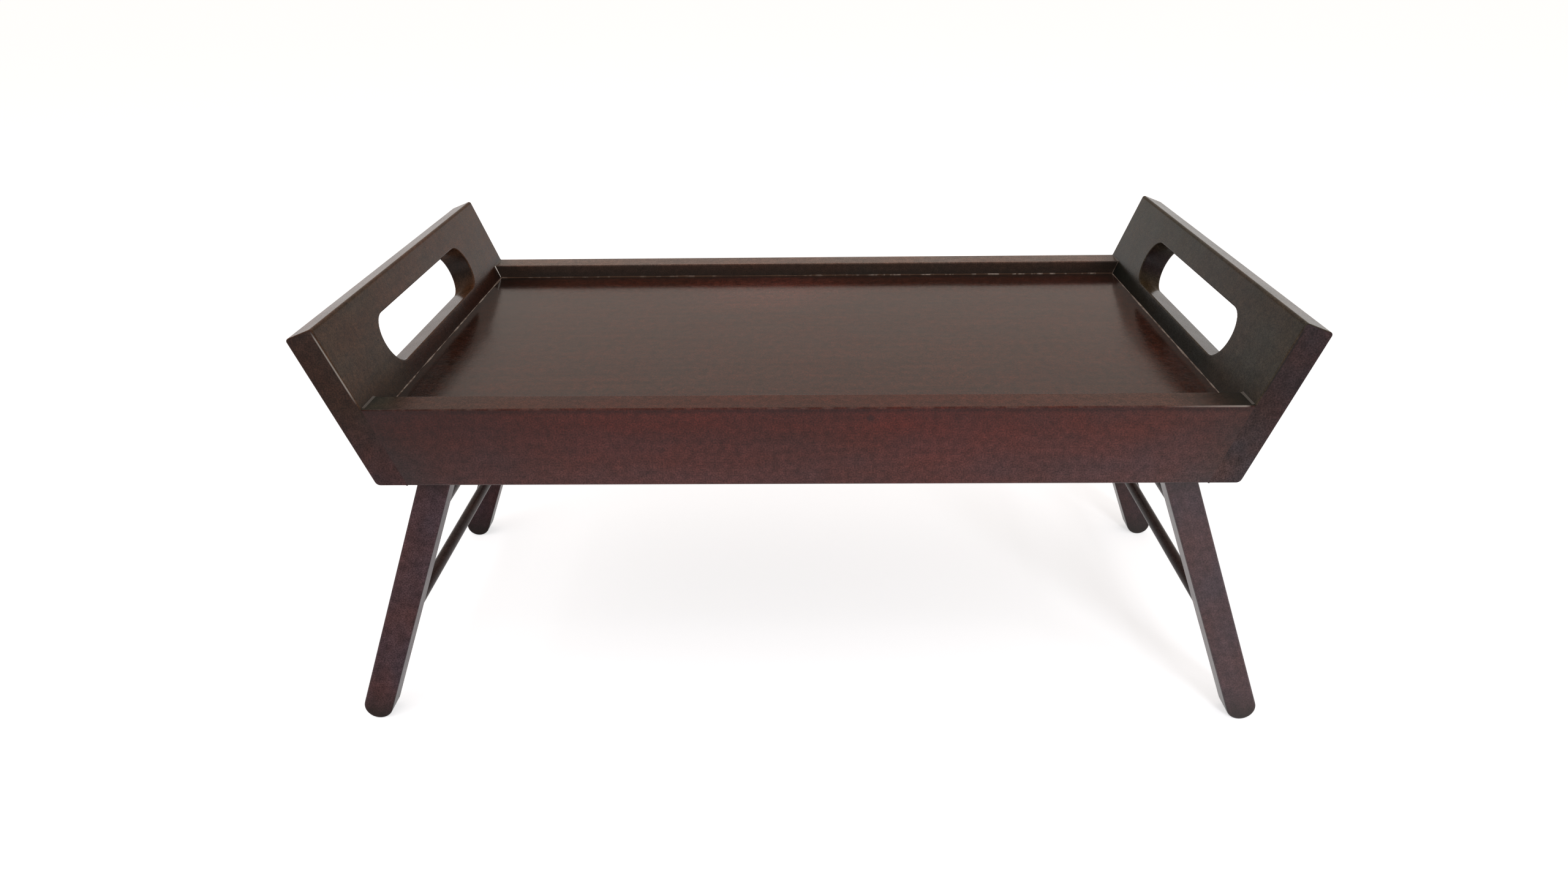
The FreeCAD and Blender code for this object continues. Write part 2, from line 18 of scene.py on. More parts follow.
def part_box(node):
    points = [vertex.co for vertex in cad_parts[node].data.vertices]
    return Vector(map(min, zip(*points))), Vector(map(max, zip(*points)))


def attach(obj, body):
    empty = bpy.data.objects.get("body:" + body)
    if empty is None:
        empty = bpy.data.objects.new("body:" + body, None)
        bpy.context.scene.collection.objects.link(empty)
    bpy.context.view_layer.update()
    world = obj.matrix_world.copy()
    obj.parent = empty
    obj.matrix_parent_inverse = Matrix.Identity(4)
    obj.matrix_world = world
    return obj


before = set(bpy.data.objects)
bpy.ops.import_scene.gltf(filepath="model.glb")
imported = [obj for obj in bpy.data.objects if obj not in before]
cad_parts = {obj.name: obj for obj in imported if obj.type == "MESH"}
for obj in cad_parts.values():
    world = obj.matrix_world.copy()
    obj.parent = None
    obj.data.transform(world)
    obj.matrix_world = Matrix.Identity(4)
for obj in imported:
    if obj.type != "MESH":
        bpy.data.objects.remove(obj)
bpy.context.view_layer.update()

bl_info = {
    "name": "Bed Tray Table",
    "version": (1, 0, 0),
    "blender": (4, 5, 0),
    "location": "3D View > Sidebar > Bed Tray",
    "description": "Finishes a folding bed tray table and sets up its studio",
    "category": "Object",
}

SIDES = {"left": -1, "right": 1}
ENDS = {"front": -1, "back": 1}
ALONG_X, ALONG_Y, UP = (1, 0, 0), (0, 1, 0), (0, 0, 1)
WHITE = (1.0, 1.0, 1.0)


# ---- settings

def setting(kind, **more):
    """A maker of settings of one kind, from a name, a description and a default."""
    def make(name, description, default):
        return kind(name=name, description=description, default=default, **more)
    return make


colour = setting(FloatVectorProperty, subtype="COLOR", size=3, min=0.0, max=1.0)
spot = setting(FloatVectorProperty, subtype="TRANSLATION")
share = setting(FloatProperty, subtype="FACTOR", min=0.0, max=1.0)
length = setting(FloatProperty, subtype="DISTANCE", unit="LENGTH")
power = setting(FloatProperty, unit="POWER", min=0.0)
angle = setting(FloatProperty, subtype="ANGLE", unit="ROTATION")
index = setting(FloatProperty, min=1.0, max=2.0)
lens_length = setting(FloatProperty, subtype="DISTANCE_CAMERA")
count = setting(IntProperty, min=1, max=12)

# Darkest and lightest stain of the pieces
STAINS = {
    "front_rail": ((0.044, 0.0138, 0.0115), (0.063, 0.0192, 0.0162)),
    "back_rail": ((0.054, 0.0320, 0.0235), (0.082, 0.0470, 0.0350)),
    "left_end_board": ((0.049, 0.0242, 0.0132), (0.074, 0.0355, 0.0200)),
    "right_end_board": ((0.032, 0.0272, 0.0180), (0.047, 0.0396, 0.0270)),
    "tray_floor": ((0.029, 0.0087, 0.0048), (0.055, 0.0162, 0.0090)),
    # The legs' stain is greyer, partly a painted sheen of their lacquer
    "leg": ((0.044, 0.0250, 0.0275), (0.066, 0.0374, 0.0412)),
    "rung": ((0.026, 0.0165, 0.0150), (0.042, 0.0260, 0.0240)),
}


class WoodSettings(PropertyGroup):
    """Stain, grain and lacquer of the wooden pieces."""

    # Painted shade: the colour that inner corners darken to, by ambient occlusion, in place of
    # the shade that falls there
    corner: colour("Corner stain", "Stain gathered in the inner corners",
                   (0.016, 0.0135, 0.0115))
    blush: colour("Blush", "Redder patches where the stain took less", (0.084, 0.0190, 0.0160))
    worn: colour("Worn edge", "Stain rubbed thin along the edges", (0.170, 0.085, 0.055))
    worn_amount: share("Worn amount", "How far the edges are rubbed", 0.16)
    bare: colour("Bare beech", "Unfinished wood of the hidden dowels", (0.560, 0.380, 0.225))
    board_roughness: share("Board gloss", "Roughness of the lacquer on the boards", 0.20)
    panel_roughness: share("Floor gloss", "Roughness of the tray floor's lacquer", 0.12)
    leg_roughness: share("Leg gloss", "Roughness of the lacquer on legs and rungs", 0.30)
    edge_coat: share("Edge coat", "Thicker lacquer along the edges", 0.4)
    coat_roughness: share("Coat gloss", "Roughness of that thicker lacquer", 0.14)
    lacquer_ior: index("Lacquer index", "Refractive index of the lacquer", 1.19)
    panel_ior: index("Floor lacquer index", "Refractive index of the tray floor's lacquer", 1.48)
    pore_amount: share("Pores", "How dark the pores are", 0.45)
    pore_length: length("Pore length", "Length of a pore along the grain", 0.0032)
    pore_width: length("Pore width", "Width of a pore across the grain", 0.00045)
    speckle_size: length("Speckle size", "Size of the finest mottling", 0.0010)
    figure_length: length("Figure length", "Length of a streak along the grain", 0.140)
    figure_width: length("Figure width", "Width of a streak across the grain", 0.0042)
    blotch_size: length("Blotch size", "Size of a patch of redder stain", 0.075)
    drift_size: length("Drift size", "Size of a redder or bluer patch", 0.022)
    # Painted shade: how far from a corner the painted shade reaches
    corner_reach: length("Corner reach", "How far stain gathers from a corner", 0.028)
    edge_radius: length("Edge softness", "Rounding of the edges in the finish", 0.0009)


WoodSettings.__annotations__.update({
    f"{stain}_{tone}": colour(f"{stain} {tone}".replace("_", " ").capitalize(),
                              f"The {tone} tone of the stain", default)
    for stain, tones in STAINS.items() for tone, default in zip(("dark", "light"), tones)})


class HardwareSettings(PropertyGroup):
    """Metal and plastic of the leg pivots."""

    steel: colour("Bolt steel", "Dark plating of the pivot bolts", (0.135, 0.128, 0.122))
    washer: colour("Washer steel", "Plating of the head washers", (0.420, 0.405, 0.385))
    tarnish: colour("Tarnish", "Duller plating", (0.075, 0.066, 0.058))
    brass: colour("Brass", "Threaded inserts", (0.640, 0.430, 0.165))
    nylon: colour("Nylon", "Spacer washers", (0.017, 0.016, 0.016))
    scratch_size: length("Scratch size", "Spacing of the fine scratches", 0.00035)
    edge_radius: length("Edge softness", "Rounding of the edges in the finish", 0.0003)


class BeadSettings(PropertyGroup):
    """Lacquer that has run together in the corners of the tray."""

    # Painted highlights: the pale shine, rim shine and glint colours stand in for the light that
    # the beads reflect
    shine: colour("Bead shine", "Pale skin of lacquer on the beads", (0.240, 0.195, 0.165))
    rim_shine: colour("Rim bead shine", "Skin of lacquer on the rim", (0.066, 0.060, 0.054))
    glint: colour("Glint", "Skin of lacquer where it catches the light", (0.780, 0.740, 0.690))
    radius: length("Bead radius", "Its radius along an end board", 0.0018)
    thin_radius: length("Thin bead radius", "Its radius along a rail", 0.0009)
    step: length("Bead step", "Spacing of its sections", 0.003)
    wander: length("Bead wander", "Length over which its size changes", 0.020)
    facets: count("Bead facets", "Facets across the bead", 4)


class StageSettings(PropertyGroup):
    """Floor, light and camera."""

    floor: colour("Floor", "Colour of the studio floor", (0.80, 0.83, 0.88))
    floor_size: length("Floor size", "Side of the studio floor", 24.0)
    floor_lift: share("Floor lift", "Brightness added where it is seen", 0.60)
    horizon: colour("Horizon", "Colour of the surroundings at the horizon", WHITE)
    ambient: colour("Ambient", "Colour of the surroundings above it", (0.535, 0.465, 0.415))
    key_power: power("Key lamp", "Power of the large lamp above", 18.0)
    key_size: length("Key lamp size", "Side of the large lamp", 2.4)
    key_place: spot("Key lamp place", "Where the large lamp hangs", (-0.5, -1.1, 2.4))
    window_power: power("Window lamp", "Power of the small lamp in front", 13.5)
    window_size: length("Window lamp size", "Side of the small lamp", 0.42)
    window_place: spot("Window lamp place", "Where the small lamp stands", (0.65, -1.75, 0.87))
    glint_power: power("Glint lamp", "Power of the lamp that shows in the lacquer", 1.2)
    glint_size: length("Glint lamp size", "Side of that lamp", 0.20)
    glint_place: spot("Glint lamp place", "Where that lamp hangs", (0.80, -1.20, 1.65))
    camera_place: spot("Camera place", "Where the camera stands", (0.00224, -0.75673, 0.50658))
    camera_yaw: angle("Camera yaw", "Turn to the right", math.radians(-1.4006))
    camera_pitch: angle("Camera pitch", "Downward tilt", math.radians(25.0658))
    camera_roll: angle("Camera roll", "Clockwise turn", math.radians(0.8303))
    focal_length: lens_length("Focal length", "For a sensor 36 mm wide", 24.99)


# ---- node helpers

class Graph:
    """Places nodes in a tree and links them."""

    def __init__(self, tree):
        self.tree = tree

    def node(self, kind, **settings):
        made = self.tree.nodes.new(kind)
        for name, value in settings.items():
            setattr(made, name, value)
        return made

    def link(self, source, target):
        self.tree.links.new(source, target)

    def feed(self, socket, value):
        """Links an output to the socket, or sets a plain value on it."""
        if isinstance(value, bpy.types.NodeSocket):
            self.link(value, socket)
        elif socket.type == "RGBA":
            socket.default_value = (*value, 1.0)
        else:
            socket.default_value = value

    def fill(self, made, **values):
        """Feeds a node's inputs by name, with _ for a blank, and gives its outputs."""
        for label, value in values.items():
            self.feed(made.inputs[label.replace("_", " ")], value)
        return made.outputs

    def maths(self, operation, *values, clamp=False):
        made = self.node("ShaderNodeMath", operation=operation, use_clamp=clamp)
        for socket, value in zip(made.inputs, values):
            self.feed(socket, value)
        return made.outputs[0]

    def times(self, first, *others):
        """The product of numbers."""
        for other in others:
            first = self.maths("MULTIPLY", first, other)
        return first

    def per(self, size, count=1.0):
        """How often a size goes into a count."""
        return self.maths("DIVIDE", count, size)

    def vectors(self, operation, *values):
        made = self.node("ShaderNodeVectorMath", operation=operation)
        for socket, value in zip(made.inputs, values):
            self.feed(socket, value)
        return made.outputs["Value" if operation in ("DOT_PRODUCT", "DISTANCE") else "Vector"]

    def scaled(self, vector, factor):
        """A vector or colour times a number."""
        return self.fill(self.vectors("SCALE", vector).node, Scale=factor)["Vector"]

    def parts(self, vector):
        """The X, Y and Z of a vector."""
        made = self.node("ShaderNodeSeparateXYZ")
        self.feed(made.inputs[0], vector)
        return made.outputs

    def spread(self, value, low, high, to_low=0.0, to_high=1.0):
        """Stretches a range of values over another one."""
        made = self.node("ShaderNodeMapRange", clamp=True)
        return self.fill(made, Value=value, From_Min=low, From_Max=high, To_Min=to_low,
                         To_Max=to_high)["Result"]

    def fade(self, value, pair, start=0.0):
        """A mask from a value and a fade, which counts from a start."""
        return self.spread(value, start + pair[0], start + pair[1])

    def mix(self, factor, first, second):
        """Colour between two colours."""
        made = self.node("ShaderNodeMix", data_type="RGBA")
        self.feed(made.inputs[0], factor)
        self.feed(made.inputs[6], first)
        self.feed(made.inputs[7], second)
        return made.outputs[2]

    def tinted(self, mask, base, tint):
        """A colour that is multiplied by a tint where the mask is full."""
        return self.mix(mask, base, self.vectors("MULTIPLY", base, tint))

    def cloud(self, vector, detail=2.0, roughness=0.5, scale=1.0):
        made = self.node("ShaderNodeTexNoise", noise_dimensions="3D")
        return self.fill(made, Vector=vector, Scale=scale, Detail=detail,
                         Roughness=roughness)["Fac"]


def group(name, inputs, outputs):
    """An empty node group, its graph, its inputs and its output node."""
    tree = bpy.data.node_groups.new(name, "ShaderNodeTree")
    for way, sockets in (("INPUT", inputs), ("OUTPUT", outputs)):
        for label, kind in sockets.items():
            tree.interface.new_socket(label, in_out=way, socket_type=kind)
    graph = Graph(tree)
    return tree, graph, graph.node("NodeGroupInput").outputs, graph.node("NodeGroupOutput")


VALUE, VECTOR, COLOUR = "NodeSocketFloat", "NodeSocketVector", "NodeSocketColor"


# ---- shared effects

# Ranges of noise that become masks
PORES, FIGURE, BLOTCHES, DRIFTS = (0.54, 0.74), (0.26, 0.74), (0.42, 0.68), (0.32, 0.68)
MOST_NOISE = (0.3, 0.7)

# Stained wood: how far the grain bends, and how the stain changes in tone
GRAIN_BEND = {"Y": 0.006, "Z": -0.004}
BLOTCH_STRETCH = (0.55, 1.0, 1.0)
SPECKLE_TONES, MOTTLE_TONES, LEAST_TONE = (0.60, 1.40), (0.76, 1.24), 0.05
MOTTLE_SCALE = 0.22
PORE_TONE = 0.5
DRIFT_TINTS = (1.12, 0.97, 0.90), (0.89, 1.02, 1.12)

# Shade of a piece: fades by the way a face looks, for darker end grain and a painted reflection
# on faces that look up, and of the light in a corner, for painted shade there
END_GRAIN, FACING_UP = (0.72, 0.95), (0.80, 0.97)
CORNER_LIGHT, CORNER_CLEAR = (0.60, 0.97), (0.18, 1.0)

# Edges: fades by how far the rounded normal bends, and of rubbed patches
EDGE_BEND, RUBBED_BEND, RUBBED_PATCHES = (0.004, 0.05), (0.02, 0.16), (0.36, 0.62)

# Lacquer and metal: what pores and dull patches do to height and roughness
PORE_SINK, PORE_DULLNESS, HAZE_TONES = 0.05, 0.08, (0.9, 1.14)
PATCH_DULLNESS, SCRATCH_STRETCH = 0.22, (0.12, 1.0, 0.12)


def stained_grain(name):
    """Stained wood with its grain along the vector's X: pores, streaks, blotches, mottling."""
    tree, graph, given, made = group(
        name,
        {"Vector": VECTOR, "Dark": COLOUR, "Light": COLOUR, "Blush": COLOUR,
         "Blush Amount": VALUE, "Pore Amount": VALUE, "Pore Size": VECTOR,
         "Figure Size": VECTOR, "Blotch Size": VALUE, "Drift Size": VALUE,
         "Speckle Size": VALUE, "Speckle Amount": VALUE},
        {"Color": COLOUR, "Pores": VALUE})
    vector, size = given["Vector"], given["Speckle Size"]
    bend = graph.cloud(vector, detail=1.0, scale=9.0)
    shift = graph.node("ShaderNodeCombineXYZ")
    for axis, amount in GRAIN_BEND.items():
        graph.link(graph.times(bend, amount), shift.inputs[axis])
    wavy = graph.vectors("ADD", vector, shift.outputs[0])
    pores = graph.cloud(graph.vectors("DIVIDE", wavy, given["Pore Size"]), roughness=0.6)
    pores = graph.spread(pores, *PORES)
    figure = graph.cloud(graph.vectors("DIVIDE", wavy, given["Figure Size"]), 4.0, 0.62)
    figure = graph.spread(figure, *FIGURE)
    stretched = graph.vectors("MULTIPLY", vector, BLOTCH_STRETCH)
    blotch = graph.cloud(stretched, 3.0, 0.55, graph.per(given["Blotch Size"]))
    blotch = graph.spread(blotch, *BLOTCHES)
    speckle = graph.cloud(vector, detail=1.0, scale=graph.per(size))
    speckle = graph.spread(speckle, *MOST_NOISE, *SPECKLE_TONES)
    mottle = graph.cloud(vector, scale=graph.per(size, MOTTLE_SCALE))
    mottle = graph.spread(mottle, *MOST_NOISE, *MOTTLE_TONES)
    uneven = graph.maths("SUBTRACT", graph.times(speckle, mottle), 1.0)
    uneven = graph.maths("ADD", graph.times(uneven, given["Speckle Amount"]), 1.0)
    uneven = graph.maths("MAXIMUM", uneven, LEAST_TONE)
    drift = graph.cloud(stretched, scale=graph.per(given["Drift Size"]))
    drift = graph.mix(graph.spread(drift, *DRIFTS), *DRIFT_TINTS)
    tint = graph.mix(figure, given["Dark"], given["Light"])
    tint = graph.mix(graph.times(blotch, given["Blush Amount"]), tint, given["Blush"])
    tint = graph.mix(graph.times(pores, given["Pore Amount"]), tint,
                     graph.scaled(given["Dark"], PORE_TONE))
    tint = graph.vectors("MULTIPLY", tint, drift)
    graph.fill(made, Color=graph.scaled(tint, uneven), Pores=pores)
    return tree


def piece_shade(name):
    """Darker end grain, partly stain and partly painted shade in the slots, a painted reflection
    on faces that look up, and painted shade in inner corners by ambient occlusion.
    """
    tree, graph, given, made = group(
        name,
        {"Color": COLOUR, "Normal": VECTOR, "Grain Direction": VECTOR, "End Tint": COLOUR,
         "Up Direction": VECTOR, "Up Tint": COLOUR, "Corner": COLOUR, "Corner Reach": VALUE},
        {"Color": COLOUR})
    # End grain: darker, partly from the stain it takes up and partly as painted shade in the
    # slots
    across = graph.vectors("DOT_PRODUCT", given["Normal"], given["Grain Direction"])
    ends = graph.spread(graph.maths("ABSOLUTE", across), *END_GRAIN)
    tint = graph.tinted(ends, given["Color"], given["End Tint"])
    # Painted reflection: faces that look up are tinted lighter
    rise = graph.vectors("DOT_PRODUCT", given["Normal"], given["Up Direction"])
    tint = graph.tinted(graph.spread(rise, *FACING_UP), tint, given["Up Tint"])
    # Painted shade: the colour darkens toward the corner colour where ambient occlusion finds
    # little light
    corner = graph.node("ShaderNodeAmbientOcclusion", samples=8)
    light = graph.fill(corner, Distance=given["Corner Reach"])["AO"]
    clear = graph.spread(light, *CORNER_LIGHT, *CORNER_CLEAR)
    graph.fill(made, Color=graph.mix(clear, given["Corner"], tint))
    return tree


def edge_softness(name):
    """Normal that is rounded at the edges, where the finish is rubbed there, and their mask."""
    tree, graph, given, made = group(
        name, {"Vector": VECTOR, "Radius": VALUE, "Seam": VALUE},
        {"Normal": VECTOR, "Worn": VALUE, "Edge": VALUE})
    soft = graph.fill(graph.node("ShaderNodeBevel", samples=6), Radius=given["Radius"])[0]
    true = graph.node("ShaderNodeNewGeometry").outputs["Normal"]
    open_edge = graph.maths("SUBTRACT", 1.0, given["Seam"])
    bent = graph.maths("SUBTRACT", 1.0, graph.vectors("DOT_PRODUCT", soft, true))
    bent = graph.times(bent, open_edge)
    turned = graph.vectors("SUBTRACT", soft, true)
    rounded = graph.vectors("ADD", true, graph.scaled(turned, open_edge))
    patchy = graph.cloud(given["Vector"], detail=3.0, scale=55.0)
    rubbed = graph.times(graph.spread(bent, *RUBBED_BEND), graph.spread(patchy, *RUBBED_PATCHES))
    graph.fill(made, Normal=graph.vectors("NORMALIZE", rounded), Worn=rubbed,
               Edge=graph.spread(bent, *EDGE_BEND))
    return tree


def lacquer_skin(name):
    """Height and roughness of sprayed lacquer: waves, orange peel, sunken pores and haze."""
    tree, graph, given, made = group(
        name, {"Vector": VECTOR, "Pores": VALUE, "Roughness": VALUE, "Peel": VALUE},
        {"Height": VALUE, "Roughness": VALUE})
    wave = graph.cloud(given["Vector"], detail=1.0, scale=28.0)
    peel = graph.cloud(given["Vector"], scale=520.0)
    height = graph.maths("ADD", wave, graph.times(peel, given["Peel"]))
    height = graph.maths("SUBTRACT", height, graph.times(given["Pores"], PORE_SINK))
    haze = graph.cloud(given["Vector"], detail=4.0, roughness=0.65, scale=16.0)
    rough = graph.times(given["Roughness"], graph.spread(haze, *MOST_NOISE, *HAZE_TONES))
    dull_pores = graph.times(given["Pores"], PORE_DULLNESS)
    graph.fill(made, Height=height, Roughness=graph.maths("ADD", rough, dull_pores, clamp=True))
    return tree


def turned_metal(name):
    """Plated or turned metal: two tones of plating and fine scratches."""
    tree, graph, given, made = group(
        name,
        {"Vector": VECTOR, "Clean": COLOUR, "Dull": COLOUR, "Scratch Size": VALUE,
         "Roughness": VALUE},
        {"Color": COLOUR, "Roughness": VALUE, "Height": VALUE})
    patch = graph.cloud(given["Vector"], detail=4.0, roughness=0.7, scale=260.0)
    patch = graph.spread(patch, *BLOTCHES)
    ringed = graph.vectors("MULTIPLY", given["Vector"], SCRATCH_STRETCH)
    scratch = graph.cloud(ringed, scale=graph.per(given["Scratch Size"]))
    dull = graph.times(patch, PATCH_DULLNESS)
    graph.fill(made, Color=graph.mix(patch, given["Clean"], given["Dull"]), Height=scratch,
               Roughness=graph.maths("ADD", given["Roughness"], dull, clamp=True))
    return tree


# ---- materials

# Shifts of the grain, so that no two pieces show the same stretch of wood
SEEDS = {
    "front_rail": 1, "back_rail": 2, "dowel": 3, "left_end_board": 4, "right_end_board": 5,
    "tray_floor": 7, "front_left_leg": 11, "back_left_leg": 12, "front_right_leg": 13,
    "back_right_leg": 14, "left_rung": 17, "right_rung": 18,
}
SEED_SHIFT = (0.37, 0.21, 0.13)


def place_group(graph, build, **values):
    """A shared group in a material, built on first use, with its values."""
    tree = bpy.data.node_groups.get(build.__name__) or build(build.__name__)
    return graph.fill(graph.node("ShaderNodeGroup", node_tree=tree), **values)


def new_material(name):
    """A material with its Principled shader and the object's own coordinates."""
    material = bpy.data.materials.new(name)
    material.use_nodes = True
    graph = Graph(material.node_tree)
    shader = material.node_tree.nodes["Principled BSDF"]
    place = graph.node("ShaderNodeTexCoord").outputs["Object"]
    return material, graph, shader, place


def bump(graph, height, distance, **more):
    """A fine relief, on top of a Normal if one is given."""
    made = graph.node("ShaderNodeBump")
    return graph.fill(made, Height=height, Distance=distance, **more)[0]


def grain_vector(graph, place, direction, seed):
    """The object's coordinates turned so that the grain's direction becomes the X axis."""
    made = graph.node("ShaderNodeMapping", vector_type="POINT")
    turn = Vector(direction).rotation_difference(Vector(ALONG_X)).to_euler()
    shift = tuple(part * seed for part in SEED_SHIFT)
    return graph.fill(made, Vector=place, Rotation=turn, Location=shift)[0]


def stained_wood(piece, direction, roughness, stain=None, painted_shade=1.0, blush_amount=0.12,
                 ripple=0.00022, end_tint=(0.5, 0.55, 0.6), up=UP, up_tint=WHITE,
                 corner_reach=1.0, ior=None, jointed=False, details=None, speckle=1.0,
                 speckle_scale=1.0, peel=0.035):
    """Dark stained wood under lacquer, with its grain along a direction."""
    wood = bpy.context.scene.bed_tray_wood
    material, graph, shader, place = new_material(f"{piece}_finish")
    along = grain_vector(graph, place, direction, SEEDS[piece])
    dark, light = (tuple(painted_shade * part for part in getattr(wood, f"{stain or piece}_{tone}"))
                   for tone in ("dark", "light"))
    grain = place_group(
        graph, stained_grain, Vector=along, Dark=dark, Light=light, Blush=wood.blush,
        Blush_Amount=blush_amount, Pore_Amount=wood.pore_amount,
        Pore_Size=(wood.pore_length, wood.pore_width, wood.pore_width),
        Figure_Size=(wood.figure_length, wood.figure_width, wood.figure_width),
        Blotch_Size=wood.blotch_size, Drift_Size=wood.drift_size,
        Speckle_Size=speckle_scale * wood.speckle_size, Speckle_Amount=speckle)
    # On top of the stain: darker end grain, partly painted shade; a painted reflection on faces
    # that look up; painted shade in inner corners
    shade = place_group(
        graph, piece_shade, Color=grain["Color"], Normal=place.node.outputs["Normal"],
        Grain_Direction=tuple(direction), End_Tint=end_tint, Up_Direction=tuple(up),
        Up_Tint=up_tint, Corner=wood.corner, Corner_Reach=corner_reach * wood.corner_reach)
    edge = place_group(graph, edge_softness, Vector=along, Radius=wood.edge_radius,
                       Seam=corner_joint(graph, place) if jointed else 0.0)
    skin = place_group(graph, lacquer_skin, Vector=along, Pores=grain["Pores"],
                       Roughness=roughness, Peel=peel)
    tint = graph.mix(graph.times(edge["Worn"], wood.worn_amount), shade["Color"], wood.worn)
    height = skin["Height"]
    if details is not None:
        tint, height = details(graph, place, tint, height)
    graph.fill(shader, Base_Color=tint, Roughness=skin["Roughness"],
               Normal=bump(graph, height, ripple, Normal=edge["Normal"]),
               Coat_Weight=graph.times(edge["Edge"], wood.edge_coat),
               Coat_Roughness=wood.coat_roughness, IOR=ior or wood.lacquer_ior)
    return material


# The corner joints: fades by the distance from the inner face and from the rails' top
JOINT_REACH, JOINT_TOP = (0.0042, 0.0022), (0.0012, 0.0004)

# An end board's areas: tints, and fades by the place on the board or by the way a face looks; the
# tint on the inner face below the rails' top is a painted shade
END_BOARD_TINTS = {
    "left": {"foot": (1.60, 1.45, 2.10), "outside": WHITE, "shaded_strip": (0.62, 0.50, 0.54),
             "back": (0.92, 0.76, 0.45), "front": (0.78, 0.90, 0.86)},
    "right": {"foot": (1.70, 1.90, 1.90), "outside": (1.28, 0.80, 0.74),
              "shaded_strip": (0.46, 0.60, 0.68), "back": (0.94, 0.82, 0.62), "front": WHITE},
}
OUTER_FACE, INNER_FACE = (0.6, 0.9), (-0.6, -0.9)
FRONT_FACE = (0.0008, 0.0003)
BELOW_JOINT, ABOVE_FOOT = 0.002, 0.008
BELOW_RAIL_TOP, ABOVE_RAIL_TOP = (0.005, -0.003), (-0.003, 0.005)
SHADED_STRIP_LENGTH, BACK_LENGTH, FRONT_LENGTH = (-0.12, -0.07), (0.02, 0.14), (-0.03, -0.12)

# The painted line along an end board's front inner edge, of light on the left board and of shadow
# on the right: colour, amount and fades
LINES = {"left": ((0.260, 0.235, 0.210), 0.80), "right": ((0.012, 0.010, 0.009), 0.85)}
LINE_WIDTH, LINE_FOOT, LINE_HEAD = (0.0007, 0.0002), (0.003, 0.012), (-0.001, -0.006)

# The front rail: tints, and fades by shares of its half length, by X, by height, by the way a
# face looks and by distance from the end board's inner face; then its painted highlight along
# the top edge, and its dent. The line tint is painted shade under the top edge, and the top
# joint and top end tints are painted shade on the top beside the end boards
RAIL_TINTS = {
    "left": (0.56, 0.72, 0.76), "right": (0.90, 1.36, 1.46), "upper": (0.86, 0.66, 0.60),
    "lower": (1.06, 1.24, 1.34), "end": (0.80, 0.98, 0.98), "line": (0.30, 0.30, 0.30),
    "top joint": (0.34, 0.62, 0.62), "top left": (1.25, 1.60, 1.60),
    "top right": (1.28, 1.36, 1.44), "top end": (0.48, 0.50, 0.48),
}
RAIL_LEFT, RAIL_RIGHT, RAIL_TOP_END = (0.5, 0.95), (0.3, 0.95), (0.212, 0.236)
RAIL_UPPER, RAIL_LOWER = -0.012, 0.006
RAIL_END, RAIL_TOP_JOINT, RAIL_TOP = (-0.026, -0.002), (-0.024, -0.010), (0.8, 0.95)
# Painted shade line under the top edge: its depth, fade and amount
RAIL_SHADE_LINE_DEPTH, RAIL_SHADE_LINE, RAIL_SHADE_LINE_AMOUNT = 0.0019, (0.0020, 0.0004), 0.65
# Painted highlight along the top edge: colour, width, end fade, patches and the length where it
# is strong
SHINE_COLOUR, SHINE_WIDTH, SHINE_END = (0.330, 0.295, 0.270), (0.0010, 0.0004), (-0.003, -0.006)
SHINE_PATCHES, FAINT_SHINE = (0.48, 0.66), (0.02, 0.11)
SHINE_LENGTH, STRONG_SHINE = (0.21, 0.258), (0.02, 0.7)
DENT_PLACE, DENT_DEPTH, DENT_WIDTH = 0.0395, 0.0068, (0.0030, 0.0012)
DENT_COLOUR, DENT_AMOUNT = (0.020, 0.007, 0.007), 0.7

# The tray floor: a lighter painted reflection far back, and a painted dark reflection of the left
# end board along its left side
FAR_REFLECTION_TINT, FAR_REFLECTION_PLACE, FAR_REFLECTION_STRETCH = (1.90, 1.75, 2.10), (-0.02, 0.098, 0.0), (0.7, 1.0, 0.0)
FAR_REFLECTION_WIDTH, LEFT_REFLECTION_SIDE, LEFT_REFLECTION_TINT = (0.060, 0.012), (-0.200, -0.235), (0.55, 0.60, 0.60)


def past_inner_face(graph, at):
    """How far a point lies outward of the plane of the end board's inner face, along X."""
    foot, head, _ = end_board_lean("right")
    slope = (head.x - foot.x) / (head.z - foot.z)
    face = graph.maths("ADD", graph.times(at["Z"], slope), foot.x - slope * foot.z)
    return graph.maths("SUBTRACT", graph.maths("ABSOLUTE", at["X"]), face)


def corner_joint(graph, place):
    """1 where rails and end boards meet flush, so that no edge shows there."""
    at = graph.parts(place)
    near = graph.fade(graph.maths("ABSOLUTE", past_inner_face(graph, at)), JOINT_REACH)
    return graph.times(near, graph.fade(at["Z"], JOINT_TOP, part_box("front_rail")[1].z))


